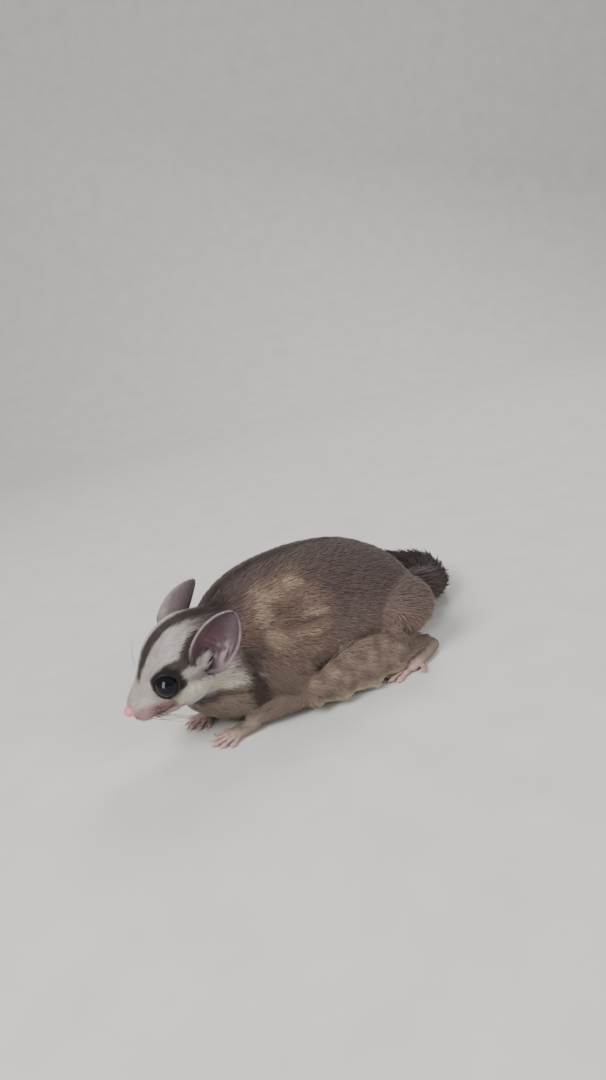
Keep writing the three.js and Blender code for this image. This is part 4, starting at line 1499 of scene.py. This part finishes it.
class GLIDER_OT_whiskers(bpy.types.Operator):
    """Whiskers on the muzzle and brows"""

    bl_idname = "glider.whiskers"
    bl_label = "Whiskers"

    def execute(self, context):
        sizes = context.scene.glider_sizes
        draw = np.random.default_rng(sizes.seed)
        hair = bare_finish("whisker", SHADES["whisker"], SHADES["whisker_root"], 3000.0, 0.4, 0.05)
        roots = [
            (13.6 - 1.5 * j, 4.2 + 0.75 * j, -3.4 - 1.05 * i, 0.72 + 0.12 * j)
            for i in range(4)
            for j in range(4)
        ]
        roots += [(5.2, 7.2, 6.6, 0.5), (4.2, 7.8, 7.2, 0.55), (-8, 13.4, -3, 0.5)]
        forms = []
        for _, way in SIDES:
            for x, y, z, share in roots:
                length = sizes.whisker / MM * share * draw.uniform(0.8, 1)
                ahead, rise = draw.uniform(-0.12, 0.12), draw.uniform(-0.12, 0.12)
                out = unit([-0.25 + ahead, 0.75, (z + 3.5) * 0.1 + rise])
                t = np.linspace(0, 1, 6)[:, None]
                sweep = np.array([-0.75, -0.35, -0.2])
                line = np.array([x, y - 0.6, z]) + length * (out * t + sweep * t * t * 0.6)
                whisker = thread(line, 0.075 * (1 - t[:, 0]) + 0.012, 4)
                forms.append(on_head(to_side(whisker, way)))
        many_as_one("whiskers", forms, 0.1, hair)
        return {"FINISHED"}


# The stage

# A round soft lamp that lights the form but leaves no spot in the eyes.
def lamp(name, at, target, size, power, colour=(1, 1, 1)):
    data = bpy.data.lights.new(name, "AREA")
    data.shape = "DISK"
    data.size = size
    data.energy = power
    data.color = colour
    obj = shown(bpy.data.objects.new(name, data))
    obj.location = at
    obj.rotation_euler = (Vector(target) - Vector(at)).to_track_quat("-Z", "Y").to_euler()
    obj.visible_glossy = False
    return obj


# A tall pale card beside the camera, seen only as the long highlight in the eyes.
def card(camera, eye, aside, width, height, power):
    data = bpy.data.lights.new("card", "AREA")
    data.shape = "RECTANGLE"
    data.size = width
    data.size_y = height
    data.energy = power
    data.color = (0.86, 0.92, 1.0)
    right, up, back = (camera.matrix_world.to_3x3().col[i].copy() for i in range(3))
    way = (back * math.cos(aside) - right * math.sin(aside)).normalized()
    side = up.cross(way).normalized()
    obj = shown(bpy.data.objects.new("card", data))
    turned = Matrix((side, way.cross(side), way)).transposed()
    obj.matrix_world = Matrix.Translation(eye + way * 0.45) @ turned.to_4x4()
    obj.visible_diffuse = False
    obj.visible_camera = False
    return obj


# Where the photograph was taken from, in metres, with its lens in millimetres and its roll in degrees.
CAMERA_AT = (0.0055, -0.3037, 0.1475)
CAMERA_TO = (0.0055, 0.0285, 0.0446)
CAMERA_LENS, CAMERA_ROLL = 24.79, -12.18


class GLIDER_OT_stage(bpy.types.Operator):
    """A pale floor, soft lamps and the camera"""

    bl_idname = "glider.stage"
    bl_label = "Stage"

    def execute(self, context):
        scene = context.scene
        edge, sweep = 0.7, 0.5
        profile = [(-2.5, 0.0), (edge, 0.0)]
        for a in np.linspace(0.05, math.pi / 2, 24):
            profile.append((edge + sweep * math.sin(a), sweep - sweep * math.cos(a)))
        profile.append((edge + sweep, 3.0))
        points = [(x, y, z) for y, z in profile for x in (-4.0, 4.0)]
        faces = [(2 * i, 2 * i + 1, 2 * i + 3, 2 * i + 2) for i in range(len(profile) - 1)]
        floor = object_of("floor", points, faces)
        m = Finish("floor_paint")
        stops = (0.3, srgb(214, 211, 206)), (0.7, srgb(222, 219, 214))
        m.set(Base_Color=m.ramp(m.noise(40.0, 3), stops), Roughness=0.8)
        floor.data.materials.append(m.material)
        floor.data.shade_smooth()
        lamp("key", (-0.5, -0.55, 0.75), (0, 0, 0.02), 0.5, 10.0, (1.0, 0.97, 0.94))
        lamp("fill", (0.7, -0.6, 0.45), (0, 0, 0.02), 0.7, 4.5, (0.95, 0.97, 1.0))
        lamp("rim", (0.3, 0.7, 0.8), (0, 0, 0.03), 0.4, 4.5)
        world = bpy.data.worlds.new("studio")
        scene.world = world
        world.use_nodes = True
        sky = world.node_tree.nodes["Background"].inputs
        sky["Color"].default_value = (0.9, 0.92, 0.95, 1)
        sky["Strength"].default_value = 0.45

        data = bpy.data.cameras.new("view")
        data.sensor_fit = "AUTO"
        data.sensor_width = 36.0
        data.lens = CAMERA_LENS
        data.clip_start = 0.01
        camera = shown(bpy.data.objects.new("view", data))
        at = Vector(CAMERA_AT)
        aim = (Vector(CAMERA_TO) - at).to_track_quat("-Z", "Y").to_matrix()
        aim = aim @ Matrix.Rotation(math.radians(CAMERA_ROLL), 3, "Z")
        camera.matrix_world = Matrix.Translation(at) @ aim.to_4x4()
        scene.camera = camera
        bpy.context.view_layer.update()
        card(camera, Vector((-0.052, -0.093, 0.032)), math.radians(24), 0.2, 0.6, 4.5)
        return {"FINISHED"}


OPERATORS = (
    GLIDER_OT_stage, GLIDER_OT_skin, GLIDER_OT_eyes, GLIDER_OT_claws, GLIDER_OT_whiskers,
    GLIDER_OT_coat,
)


class GLIDER_PT_parts(bpy.types.Panel):
    """Lists what the animal is made of"""

    bl_idname = "GLIDER_PT_parts"
    bl_label = "Sugar glider"
    bl_space_type = "VIEW_3D"
    bl_region_type = "UI"
    bl_category = "Glider"

    def draw(self, context):
        for group in (context.scene.glider_sizes, context.scene.glider_colours):
            box = self.layout.box()
            for name in group.__annotations__:
                box.prop(group, name)
        for operator in OPERATORS:
            self.layout.operator(operator.bl_idname)


CLASSES = (GliderColours, GliderSizes, *OPERATORS, GLIDER_PT_parts)


def register():
    for made in CLASSES:
        bpy.utils.register_class(made)
    bpy.types.Scene.glider_colours = PointerProperty(type=GliderColours)
    bpy.types.Scene.glider_sizes = PointerProperty(type=GliderSizes)


def unregister():
    del bpy.types.Scene.glider_colours
    del bpy.types.Scene.glider_sizes
    for made in reversed(CLASSES):
        bpy.utils.unregister_class(made)


def main():
    register()
    for operator in OPERATORS:
        group, name = operator.bl_idname.split(".")
        getattr(getattr(bpy.ops, group), name)()


if __name__ == "__main__":
    main()
